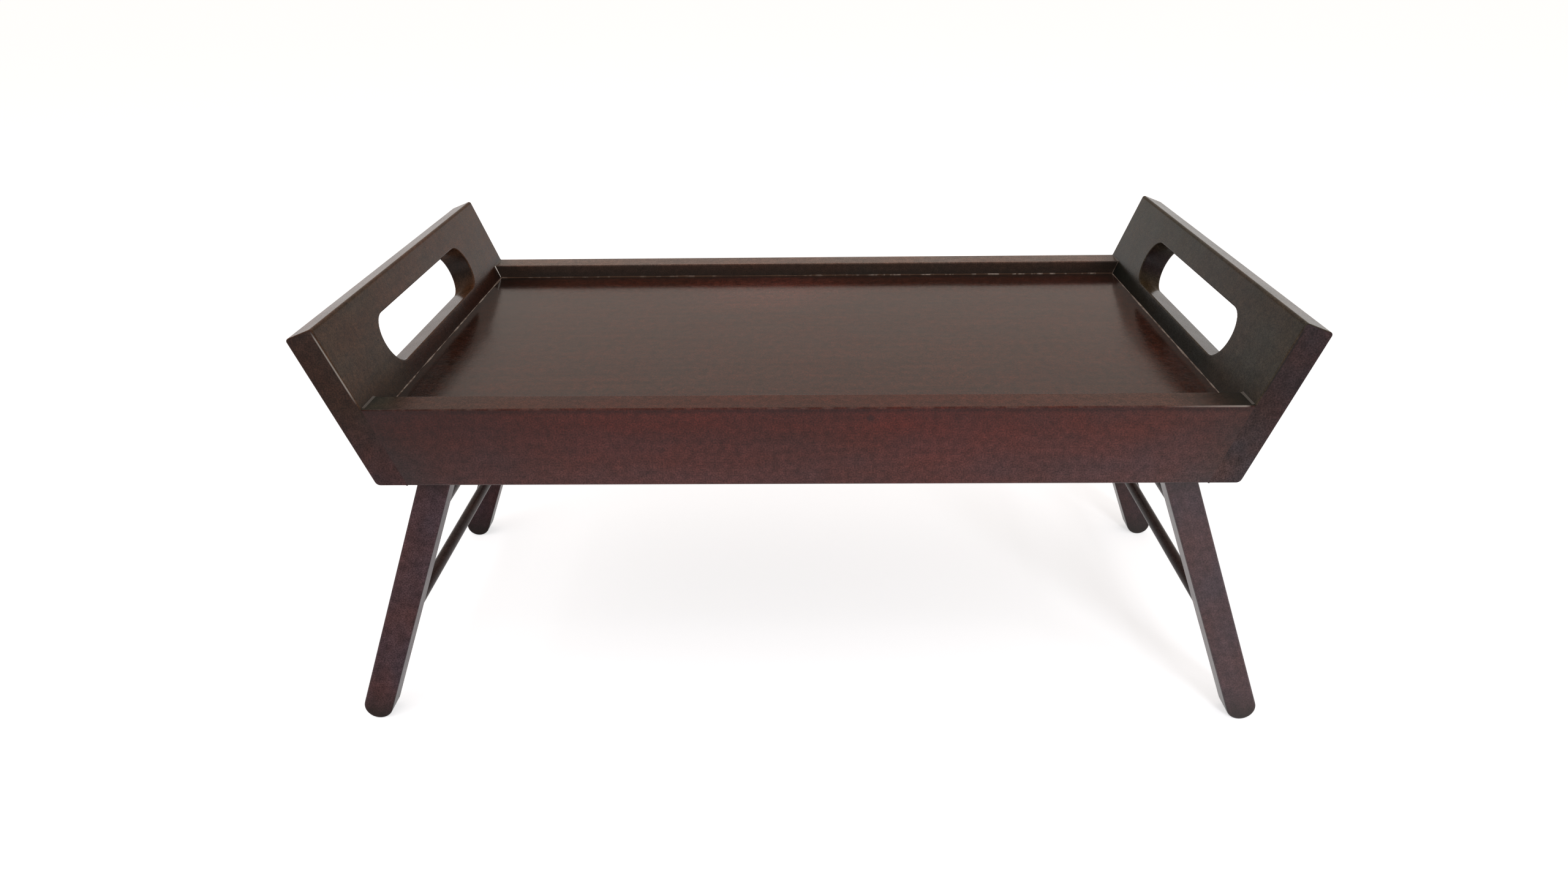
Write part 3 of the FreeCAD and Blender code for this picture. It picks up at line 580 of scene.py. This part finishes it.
def end_board_details(side):
    """An end board's tints by area, with painted shade below the rails' top, and its painted line
    along the front inner edge, light on the left board and shadow on the right, as a function for
    stained_wood.
    """
    line_colour, line_amount = LINES[side]
    foot, head, lean = end_board_lean(side)
    outward = Vector((lean.z, 0, -lean.x)) * SIDES[side]
    front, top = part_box("front_rail")[0].y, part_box("front_rail")[1].z

    def details(graph, place, tint, height):
        at = graph.parts(place)
        along, level = at["Y"], at["Z"]
        facing = graph.vectors("DOT_PRODUCT", place.node.outputs["Normal"], tuple(outward))
        inside = graph.fade(facing, INNER_FACE)
        at_front = graph.fade(along, FRONT_FACE, front)
        masks = {
            "foot": graph.times(
                at_front, graph.spread(level, top + BELOW_JOINT, foot.z + ABOVE_FOOT)),
            "outside": graph.fade(facing, OUTER_FACE),
            # Painted shade on the inner face below the rails' top
            "shaded_strip": graph.times(inside, graph.fade(level, BELOW_RAIL_TOP, top),
                                 graph.fade(along, SHADED_STRIP_LENGTH)),
            "back": graph.times(inside, graph.fade(along, BACK_LENGTH),
                                graph.fade(level, ABOVE_RAIL_TOP, top)),
            "front": graph.times(inside, graph.fade(along, FRONT_LENGTH)),
        }
        for area, mask in masks.items():
            tint = graph.tinted(mask, tint, END_BOARD_TINTS[side][area])
        # Painted line along the front inner edge: light on the left board, shadow on the right
        across = graph.maths("ABSOLUTE", past_inner_face(graph, at))
        line = graph.times(
            graph.fade(across, LINE_WIDTH), at_front, graph.fade(level, LINE_FOOT, top),
            graph.fade(level, LINE_HEAD, head.z), line_amount)
        return graph.mix(line, tint, line_colour), height

    return details


def front_rail_details(graph, place, tint, height):
    """The front rail's tones, a painted shade line under its top edge and a painted highlight
    along it, painted shade on its top beside the end boards, and its small dent.
    """
    low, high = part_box("front_rail")
    at = graph.parts(place)
    outward = past_inner_face(graph, at)
    left = graph.spread(at["X"], *(part * low.x for part in RAIL_LEFT))
    right = graph.spread(at["X"], *(part * high.x for part in RAIL_RIGHT))
    tone = graph.mix(left, WHITE, RAIL_TINTS["left"])
    tone = graph.mix(right, tone, RAIL_TINTS["right"])
    base = graph.spread(at["Z"], high.z + RAIL_UPPER, low.z + RAIL_LOWER)
    base = graph.mix(base, RAIL_TINTS["upper"], RAIL_TINTS["lower"])
    tone = graph.vectors("MULTIPLY", tone, base)
    tone = graph.tinted(graph.fade(outward, RAIL_END), tone, RAIL_TINTS["end"])
    # Painted shade: a dark line just under the top edge
    line = graph.maths("SUBTRACT", at["Z"], high.z - RAIL_SHADE_LINE_DEPTH)
    line = graph.fade(graph.maths("ABSOLUTE", line), RAIL_SHADE_LINE)
    tone = graph.mix(graph.times(line, RAIL_SHADE_LINE_AMOUNT), tone, RAIL_TINTS["line"])
    on_top = graph.spread(graph.parts(place.node.outputs["Normal"])["Z"], *RAIL_TOP)
    # Painted shade on the top beside the end boards
    joint = graph.times(on_top, graph.fade(outward, RAIL_TOP_JOINT))
    tone = graph.mix(joint, tone, RAIL_TINTS["top joint"])
    # The top end tint is painted shade beside the right end board
    areas = {"top left": left, "top right": right, "top end": graph.fade(at["X"], RAIL_TOP_END)}
    for area, mask in areas.items():
        tone = graph.tinted(graph.times(on_top, mask), tone, RAIL_TINTS[area])
    tint = graph.vectors("MULTIPLY", tint, tone)
    # Painted highlight along the top front edge: faint in broken patches, strong at the right end
    section = graph.vectors("MULTIPLY", place, (0.0, 1.0, 1.0))
    edge = graph.fade(graph.vectors("DISTANCE", section, (0.0, low.y, high.z)), SHINE_WIDTH)
    broken = graph.cloud(place, detail=3.0, scale=150.0)
    broken = graph.spread(broken, *SHINE_PATCHES, *FAINT_SHINE)
    strong = graph.spread(at["X"], *SHINE_LENGTH, *STRONG_SHINE)
    edge = graph.times(edge, graph.maths("MAXIMUM", broken, strong),
                       graph.fade(outward, SHINE_END))
    tint = graph.mix(edge, tint, SHINE_COLOUR)
    dent = graph.vectors("DISTANCE", place, (DENT_PLACE, low.y, high.z - DENT_DEPTH))
    dent = graph.fade(dent, DENT_WIDTH)
    tint = graph.mix(graph.times(dent, DENT_AMOUNT), tint, DENT_COLOUR)
    return tint, graph.maths("SUBTRACT", height, dent)


def tray_floor_details(graph, place, tint, height):
    """A lighter painted reflection far back on the tray floor, and a painted dark reflection of
    the end board along its left side.
    """
    # Painted reflection: a lighter patch far back
    stretched = graph.vectors("MULTIPLY", place, FAR_REFLECTION_STRETCH)
    patch = graph.fade(graph.vectors("DISTANCE", stretched, FAR_REFLECTION_PLACE), FAR_REFLECTION_WIDTH)
    tint = graph.tinted(patch, tint, FAR_REFLECTION_TINT)
    # Painted dark reflection of the left end board along the floor's left side
    side = graph.fade(graph.parts(place)["X"], LEFT_REFLECTION_SIDE)
    return graph.tinted(side, tint, LEFT_REFLECTION_TINT), height


def bare_wood(name, direction):
    """Unfinished beech with its short dark flecks."""
    wood = bpy.context.scene.bed_tray_wood
    material, graph, shader, place = new_material(name)
    along = grain_vector(graph, place, direction, SEEDS["dowel"])
    grain = place_group(
        graph, stained_grain, Vector=along, Dark=tuple(0.72 * part for part in wood.bare),
        Light=wood.bare, Blush=wood.bare, Blush_Amount=0.0, Pore_Amount=0.5,
        Pore_Size=(0.0022, 0.0004, 0.0004), Figure_Size=(0.030, 0.0016, 0.0016),
        Blotch_Size=0.05, Drift_Size=wood.drift_size, Speckle_Size=wood.speckle_size,
        Speckle_Amount=1.0)
    graph.fill(shader, Base_Color=grain["Color"], Roughness=0.72,
               Normal=bump(graph, grain["Pores"], distance=-0.00006))
    return material


def metal(name, clean, dull, roughness):
    """Plated steel or brass."""
    hardware = bpy.context.scene.bed_tray_hardware
    material, graph, shader, place = new_material(name)
    finish = place_group(graph, turned_metal, Vector=place, Clean=clean, Dull=dull,
                         Scratch_Size=hardware.scratch_size, Roughness=roughness)
    edge = place_group(graph, edge_softness, Vector=place, Radius=hardware.edge_radius, Seam=0.0)
    relief = bump(graph, finish["Height"], distance=0.00001, Normal=edge["Normal"])
    graph.fill(shader, Base_Color=finish["Color"], Roughness=finish["Roughness"], Normal=relief,
               Metallic=1.0)
    return material


def nylon(name):
    """Black moulded nylon with a fine texture."""
    hardware = bpy.context.scene.bed_tray_hardware
    material, graph, shader, place = new_material(name)
    speckle = graph.cloud(place, detail=3.0, scale=1400.0)
    dusty = tuple(2.4 * part for part in hardware.nylon)
    tint = graph.mix(graph.spread(speckle, 0.45, 0.8), hardware.nylon, dusty)
    rough = graph.spread(speckle, 0.2, 0.8, to_low=0.42, to_high=0.62)
    graph.fill(shader, Base_Color=tint, Roughness=rough,
               Normal=bump(graph, speckle, distance=0.00004))
    return material


# Beads of lacquer with a painted highlight: name of the shine colour, fade of the noise where the
# highlight shows, roughness, and the X before which the highlight grows fainter
BEAD_FINISHES = {
    "bright": ("shine", (0.38, 0.60), 0.15, None),
    "faint": ("shine", (0.52, 0.60), 0.20, 0.12),
    "dull": ("rim_shine", (0.25, 0.50), 0.35, None),
    "glint": ("glint", (0.18, 0.32), 0.15, None),
}
BEAD_IOR, BEAD_DULLNESS, FAINTEST_BEAD = 1.4, 0.25, 0.25


def lacquer_bead_material(kind):
    """Lacquer that stands thick in a corner, with a painted highlight in broken stretches."""
    settings = bpy.context.scene.bed_tray_bead
    base = bpy.context.scene.bed_tray_wood.left_end_board_dark
    shine, shown, roughness, fade = BEAD_FINISHES[kind]
    material, graph, shader, place = new_material(f"{kind}_bead_finish")
    drift = graph.fade(graph.cloud(place, detail=3.0, roughness=0.6, scale=120.0), shown)
    if fade is not None:
        faded = graph.spread(graph.parts(place)["X"], fade, 0.0, 1.0, FAINTEST_BEAD)
        drift = graph.times(drift, faded)
    rough = graph.spread(drift, 0.0, 1.0, roughness + BEAD_DULLNESS, roughness)
    # Painted highlight: the pale shine colour in broken stretches stands in for reflected light
    graph.fill(shader, Base_Color=graph.mix(drift, base, getattr(settings, shine)),
               Roughness=rough, IOR=BEAD_IOR)
    return material


def give(material, *names):
    """Puts a material on CAD nodes."""
    for name in names:
        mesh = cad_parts[name].data
        mesh.materials.clear()
        mesh.materials.append(material)


# ---- beads of lacquer

# A bead's size along its length, as a share of its radius, and the angle of its sharp edges
BEAD_MEAN, BEAD_CHANGE, BEAD_LEAST = 0.72, 0.62, 0.12
BEAD_CREASE = math.radians(50)
CORNER_WIDTH, RIM_WIDTH = 0.8, 1.2
BEAD_SEEDS = {"end": 3.1, "corner": 5.3, "rim": 2.3, "rail": 8.7}


def bead(name, start, end, one_way, other_way, seed, radius):
    """Hollow bead in the corner along a line, with its legs along two surfaces."""
    settings = bpy.context.scene.bed_tray_bead
    start, end = Vector(start), Vector(end)
    one_way, other_way = Vector(one_way).normalized(), Vector(other_way).normalized()
    sections = max(2, round((end - start).length / settings.step))
    across = settings.facets
    points, faces = [], []
    for i in range(sections + 1):
        along = start.lerp(end, i / sections)
        change = noise.noise(along / settings.wander + Vector((seed, 0, 0)))
        reach = radius * max(BEAD_MEAN + BEAD_CHANGE * change, BEAD_LEAST)
        points.append(along)
        for k in range(across + 1):
            t = k / across
            points.append(along + reach * ((1 - t) ** 2 * one_way + t ** 2 * other_way))
    ring = across + 2
    for i in range(sections):
        a, b = i * ring, (i + 1) * ring
        for k in range(ring):
            n = (k + 1) % ring
            faces.append((a + k, a + n, b + n, b + k))
    faces.append(tuple(range(ring)))
    faces.append(tuple(range(sections * ring, (sections + 1) * ring)))
    mesh = bpy.data.meshes.new(name)
    mesh.from_pydata(points, [], faces)
    mesh.validate()
    piece = bpy.data.objects.new(name, mesh)
    bpy.context.scene.collection.objects.link(piece)
    fix_normals(mesh)
    for polygon in mesh.polygons:
        polygon.use_smooth = True
    mesh.set_sharp_from_angle(angle=BEAD_CREASE)
    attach(piece, "tray")
    return piece


def fix_normals(mesh):
    """Turns all faces of a closed mesh outward."""
    shape = bmesh.new()
    shape.from_mesh(mesh)
    bmesh.ops.recalc_face_normals(shape, faces=shape.faces)
    shape.to_mesh(mesh)
    shape.free()


def end_board_lean(side):
    """The foot and head of an end board's inner face at its middle, and the way it leans."""
    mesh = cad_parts[f"{side}_end_board"].data
    sign = SIDES[side]
    foot = min(mesh.vertices, key=lambda v: (round(v.co.z, 6), sign * v.co.x)).co
    head = max(mesh.vertices, key=lambda v: (round(v.co.z, 6), -sign * v.co.x)).co
    foot, head = Vector((foot.x, 0, foot.z)), Vector((head.x, 0, head.z))
    return foot, head, (head - foot).normalized()


def leg_direction(side):
    """The way that a side's legs hang, from the upper to the lower rung."""
    upper_low, upper_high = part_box(f"{side}_upper_rung")
    lower_low, lower_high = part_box(f"{side}_lower_rung")
    return ((lower_low + lower_high) - (upper_low + upper_high)).normalized()


# ---- operators

# How the wood of each piece differs from plain stained wood
# The rails' tint for faces that look up is a painted reflection
RAIL_LOOKS = {
    "front": {"blush_amount": 0.55, "up_tint": (1.28, 1.78, 1.52), "ior": 1.27,
              "details": front_rail_details},
    "back": {"blush_amount": 0.15, "up_tint": (1.95, 2.20, 2.30), "ior": 1.28},
}
# The end boards' end tint darkens end grain, partly as stain and partly as painted shade in the
# slots
END_BOARD_LOOKS = {
    "left": {"end_tint": (0.40, 0.43, 0.53), "ior": 1.19},
    "right": {"end_tint": (0.68, 0.50, 0.74), "ior": 1.17},
}
# Painted reflection on the end boards' faces that look up: their top edges and the bottoms of the
# slots
END_BOARD_TOP_REFLECTION = (1.20, 1.10, 0.85)
FLOOR_LOOK = {"ripple": 0.00016, "corner_reach": 1.3, "speckle": 1.7, "speckle_scale": 1.2,
              "peel": 0.16, "details": tray_floor_details}
LEG_INDEX = {"left": 1.15, "right": 1.34}
# Painted shade: the back legs' stain is darkened by this factor
LEG_PAINTED_SHADE = {"front": 1.0, "back": 0.66}
RUNG_BLUSH = 0.1


class BEDTRAY_OT_rails(Operator):
    """Finishes the front and back rail"""

    bl_idname = "bedtray.rails"
    bl_label = "Rails"

    def execute(self, context):
        roughness = context.scene.bed_tray_wood.board_roughness
        for end, look in RAIL_LOOKS.items():
            rail = f"{end}_rail"
            give(stained_wood(rail, ALONG_X, roughness, jointed=True, **look), rail)
        return {"FINISHED"}


class BEDTRAY_OT_end_boards(Operator):
    """Finishes the two leaning end boards"""

    bl_idname = "bedtray.end_boards"
    bl_label = "End boards"

    def execute(self, context):
        roughness = context.scene.bed_tray_wood.board_roughness
        for side, look in END_BOARD_LOOKS.items():
            board = f"{side}_end_board"
            give(stained_wood(
                board, ALONG_Y, roughness, up=end_board_lean(side)[2], up_tint=END_BOARD_TOP_REFLECTION,
                jointed=True, details=end_board_details(side), **look), board)
        return {"FINISHED"}


class BEDTRAY_OT_tray_floor(Operator):
    """Finishes the floor panel of the tray"""

    bl_idname = "bedtray.tray_floor"
    bl_label = "Tray floor"

    def execute(self, context):
        wood = context.scene.bed_tray_wood
        give(stained_wood("tray_floor", ALONG_X, wood.panel_roughness, ior=wood.panel_ior,
                          **FLOOR_LOOK), "tray_floor")
        return {"FINISHED"}


class BEDTRAY_OT_lacquer_beads(Operator):
    """Adds the beads of lacquer in the corners of the tray"""

    bl_idname = "bedtray.lacquer_beads"
    bl_label = "Lacquer beads"

    def execute(self, context):
        settings = context.scene.bed_tray_bead
        seeds, wide = BEAD_SEEDS, settings.radius
        finish = {kind: lacquer_bead_material(kind) for kind in BEAD_FINISHES}
        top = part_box("tray_floor")[1].z
        rail_low, rail_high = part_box("back_rail")
        inner, outer = rail_low.y, rail_high.y - RIM_WIDTH * wide
        for side, sign in SIDES.items():
            inward = (-sign, 0, 0)
            foot, head, lean = end_board_lean(side)
            corner = foot + lean * ((top - foot.z) / lean.z)
            rim = foot + lean * ((rail_high.z - foot.z) / lean.z)
            pieces = [bead(f"{side}_floor_bead", (corner.x, -inner, top), (corner.x, inner, top),
                           inward, lean, seeds["end"] * sign, wide)]
            for end, way in ENDS.items():
                at_rim = (rim.x, way * inner, rim.z)
                pieces.append(bead(
                    f"{end}_{side}_corner_bead", (corner.x, way * inner, top), at_rim,
                    inward, (0, -way, 0), seeds["corner"] * sign + way, CORNER_WIDTH * wide))
                # The rim beads carry a soft painted highlight on the rails' top beside the end
                # boards
                rim_bead = bead(
                    f"{end}_{side}_rim_bead", at_rim, (rim.x, way * outer, rim.z),
                    inward, lean, seeds["rim"] * sign + way, RIM_WIDTH * wide)
                rim_bead.data.materials.append(finish["dull"])
            for piece in pieces:
                # Painted glint on the back left corner bead, painted highlight on the other beads
                kind = "glint" if piece.name == "back_left_corner_bead" else "bright"
                piece.data.materials.append(finish[kind])
        half = abs(corner.x)
        for end, way in ENDS.items():
            # The front and back floor beads carry a faint painted highlight
            piece = bead(f"{end}_floor_bead", (-half, way * inner, top), (half, way * inner, top),
                         (0, -way, 0), UP, seeds["rail"] * way, settings.thin_radius)
            piece.data.materials.append(finish["faint"])
        return {"FINISHED"}


class BEDTRAY_OT_legs(Operator):
    """Finishes the four legs"""

    bl_idname = "bedtray.legs"
    bl_label = "Legs"

    def execute(self, context):
        roughness = context.scene.bed_tray_wood.leg_roughness
        for side in SIDES:
            for end in ENDS:
                leg = f"{end}_{side}_leg"
                give(stained_wood(leg, leg_direction(side), roughness, stain="leg",
                                  painted_shade=LEG_PAINTED_SHADE[end], ior=LEG_INDEX[side]), leg)
        return {"FINISHED"}


class BEDTRAY_OT_rungs(Operator):
    """Finishes the four round rungs"""

    bl_idname = "bedtray.rungs"
    bl_label = "Rungs"

    def execute(self, context):
        roughness = context.scene.bed_tray_wood.leg_roughness
        for side in SIDES:
            material = stained_wood(f"{side}_rung", ALONG_Y, roughness, stain="rung",
                                    blush_amount=RUNG_BLUSH)
            give(material, f"{side}_upper_rung", f"{side}_lower_rung")
        return {"FINISHED"}


class BEDTRAY_OT_pivots(Operator):
    """Finishes the bolts, washers, spacers and inserts of the leg pivots"""

    bl_idname = "bedtray.pivots"
    bl_label = "Pivots"

    def execute(self, context):
        looks = context.scene.bed_tray_hardware
        finishes = {
            "pivot_bolt": metal("pivot_bolt_finish", looks.steel, looks.tarnish, 0.30),
            "head_washer": metal("head_washer_finish", looks.washer, looks.steel, 0.34),
            "threaded_insert": metal("threaded_insert_finish", looks.brass, looks.tarnish, 0.28),
            "leg_spacer": nylon("leg_spacer_finish"),
        }
        for part, material in finishes.items():
            give(material, *(f"{end}_{side}_{part}" for end in ENDS for side in SIDES))
        return {"FINISHED"}


class BEDTRAY_OT_dowels(Operator):
    """Finishes the hidden dowels of the corner joints"""

    bl_idname = "bedtray.dowels"
    bl_label = "Corner dowels"

    def execute(self, context):
        for side in SIDES:
            lean = end_board_lean(side)[2]
            material = bare_wood(f"{side}_dowel_finish", Vector((lean.z, 0, -lean.x)))
            give(material, *(f"{end}_{side}_{level}_dowel"
                             for end in ENDS for level in ("lower", "upper")))
        return {"FINISHED"}


class BEDTRAY_OT_stage(Operator):
    """Sets up the studio floor, the light and the camera"""

    bl_idname = "bedtray.stage"
    bl_label = "Studio"

    def execute(self, context):
        context.scene.view_settings.view_transform = "Standard"
        studio_floor(context)
        surroundings(context)
        lamp(context, "key", shines=False)
        lamp(context, "window", shines=False)
        lamp(context, "glint", shines=True)
        camera(context)
        return {"FINISHED"}


# ---- studio

HORIZON_RISE = (0.02, 0.12)
FLOOR_ROUGHNESS = 0.9
LAMP_AIM = Vector((0, 0, 0.2))
SENSOR_WIDTH = 36.0
NEAREST, FARTHEST = 0.02, 60.0


def seen_directly(graph):
    """1 for what the camera, a reflection or a clear material sees, 0 for light that falls."""
    path = graph.node("ShaderNodeLightPath").outputs
    seen = graph.maths("ADD", path["Is Camera Ray"], path["Is Glossy Ray"], clamp=True)
    return graph.maths("ADD", seen, path["Is Transmission Ray"], clamp=True)


def studio_floor(context):
    """A pale floor that keeps the object's shadow and turns white away from it."""
    settings = context.scene.bed_tray_stage
    half = settings.floor_size / 2
    mesh = bpy.data.meshes.new("studio_floor")
    mesh.from_pydata([(-half, -half, 0), (half, -half, 0), (half, half, 0), (-half, half, 0)],
                     [], [(0, 1, 2, 3)])
    plane = bpy.data.objects.new("studio_floor", mesh)
    context.scene.collection.objects.link(plane)
    material = bpy.data.materials.new("studio_floor_finish")
    material.use_nodes = True
    graph = Graph(material.node_tree)
    shader = material.node_tree.nodes["Principled BSDF"]
    graph.fill(shader, Base_Color=settings.floor, Roughness=FLOOR_ROUGHNESS,
               Specular_IOR_Level=0.0, Emission_Color=WHITE,
               Emission_Strength=graph.times(seen_directly(graph), settings.floor_lift))
    one_sided(graph, shader, material)
    mesh.materials.append(material)


def one_sided(graph, shader, material):
    """Lets the camera look through the floor from below."""
    clear = graph.node("ShaderNodeBsdfTransparent").outputs[0]
    back = graph.node("ShaderNodeNewGeometry").outputs["Backfacing"]
    seen = graph.node("ShaderNodeLightPath").outputs["Is Camera Ray"]
    choice = graph.node("ShaderNodeMixShader")
    values = (graph.times(back, seen), shader.outputs[0], clear)
    for value, socket in zip(values, choice.inputs):
        graph.link(value, socket)
    graph.link(choice.outputs[0], material.node_tree.nodes["Material Output"].inputs["Surface"])


def surroundings(context):
    """Plain pale surroundings: white at the horizon and dimmer above it."""
    settings = context.scene.bed_tray_stage
    world = bpy.data.worlds.new("studio")
    world.use_nodes = True
    graph = Graph(world.node_tree)
    light = world.node_tree.nodes["Background"]
    way = graph.parts(graph.node("ShaderNodeTexCoord").outputs["Generated"])
    rise = graph.spread(way["Z"], *HORIZON_RISE)
    graph.link(graph.mix(rise, settings.horizon, settings.ambient), light.inputs["Color"])
    context.scene.world = world


def lamp(context, kind, shines):
    """A square lamp turned to the object; one that shines also shows in the lacquer."""
    settings = context.scene.bed_tray_stage
    light = bpy.data.lights.new(f"{kind}_lamp", "AREA")
    light.shape = "SQUARE"
    light.size = getattr(settings, f"{kind}_size")
    light.energy = getattr(settings, f"{kind}_power")
    stand = bpy.data.objects.new(f"{kind}_lamp", light)
    stand.location = getattr(settings, f"{kind}_place")
    aim = LAMP_AIM - stand.location
    stand.rotation_euler = aim.to_track_quat("-Z", "Y").to_euler()
    stand.visible_camera = False
    stand.visible_glossy = shines
    context.scene.collection.objects.link(stand)


def camera(context):
    """The camera of the photograph: its place, its lens and its slight roll."""
    settings = context.scene.bed_tray_stage
    lens = bpy.data.cameras.new("photo_camera")
    lens.sensor_fit = "HORIZONTAL"
    lens.sensor_width = SENSOR_WIDTH
    lens.lens = settings.focal_length
    lens.clip_start, lens.clip_end = NEAREST, FARTHEST
    eye = bpy.data.objects.new("photo_camera", lens)
    turn = (Matrix.Rotation(-settings.camera_yaw, 4, "Z")
            @ Matrix.Rotation(math.radians(90) - settings.camera_pitch, 4, "X")
            @ Matrix.Rotation(-settings.camera_roll, 4, "Z"))
    eye.matrix_world = Matrix.Translation(settings.camera_place) @ turn
    context.scene.collection.objects.link(eye)
    context.scene.camera = eye


# ---- panel and run

class BEDTRAY_PT_panel(Panel):
    """Lists the steps that finish the tray table"""

    bl_idname = "BEDTRAY_PT_panel"
    bl_label = "Bed Tray Table"
    bl_space_type = "VIEW_3D"
    bl_region_type = "UI"
    bl_category = "Bed Tray"

    def draw(self, context):
        for step in STEPS:
            self.layout.operator(step.bl_idname)
        for name in SETTINGS:
            box = self.layout.box()
            settings = getattr(context.scene, name)
            for label in settings.__annotations__:
                box.prop(settings, label)


SETTINGS = {
    "bed_tray_wood": WoodSettings,
    "bed_tray_hardware": HardwareSettings,
    "bed_tray_bead": BeadSettings,
    "bed_tray_stage": StageSettings,
}
STEPS = [
    BEDTRAY_OT_rails, BEDTRAY_OT_end_boards, BEDTRAY_OT_tray_floor, BEDTRAY_OT_lacquer_beads,
    BEDTRAY_OT_legs, BEDTRAY_OT_rungs, BEDTRAY_OT_pivots, BEDTRAY_OT_dowels, BEDTRAY_OT_stage,
]


def register():
    for kind in [*SETTINGS.values(), *STEPS, BEDTRAY_PT_panel]:
        bpy.utils.register_class(kind)
    for name, kind in SETTINGS.items():
        setattr(bpy.types.Scene, name, PointerProperty(type=kind))


def unregister():
    for name in SETTINGS:
        delattr(bpy.types.Scene, name)
    for kind in reversed([*SETTINGS.values(), *STEPS, BEDTRAY_PT_panel]):
        bpy.utils.unregister_class(kind)


def main():
    """Runs every step in order."""
    register()
    for step in STEPS:
        family, name = step.bl_idname.split(".")
        getattr(getattr(bpy.ops, family), name)()


if __name__ == "__main__":
    main()
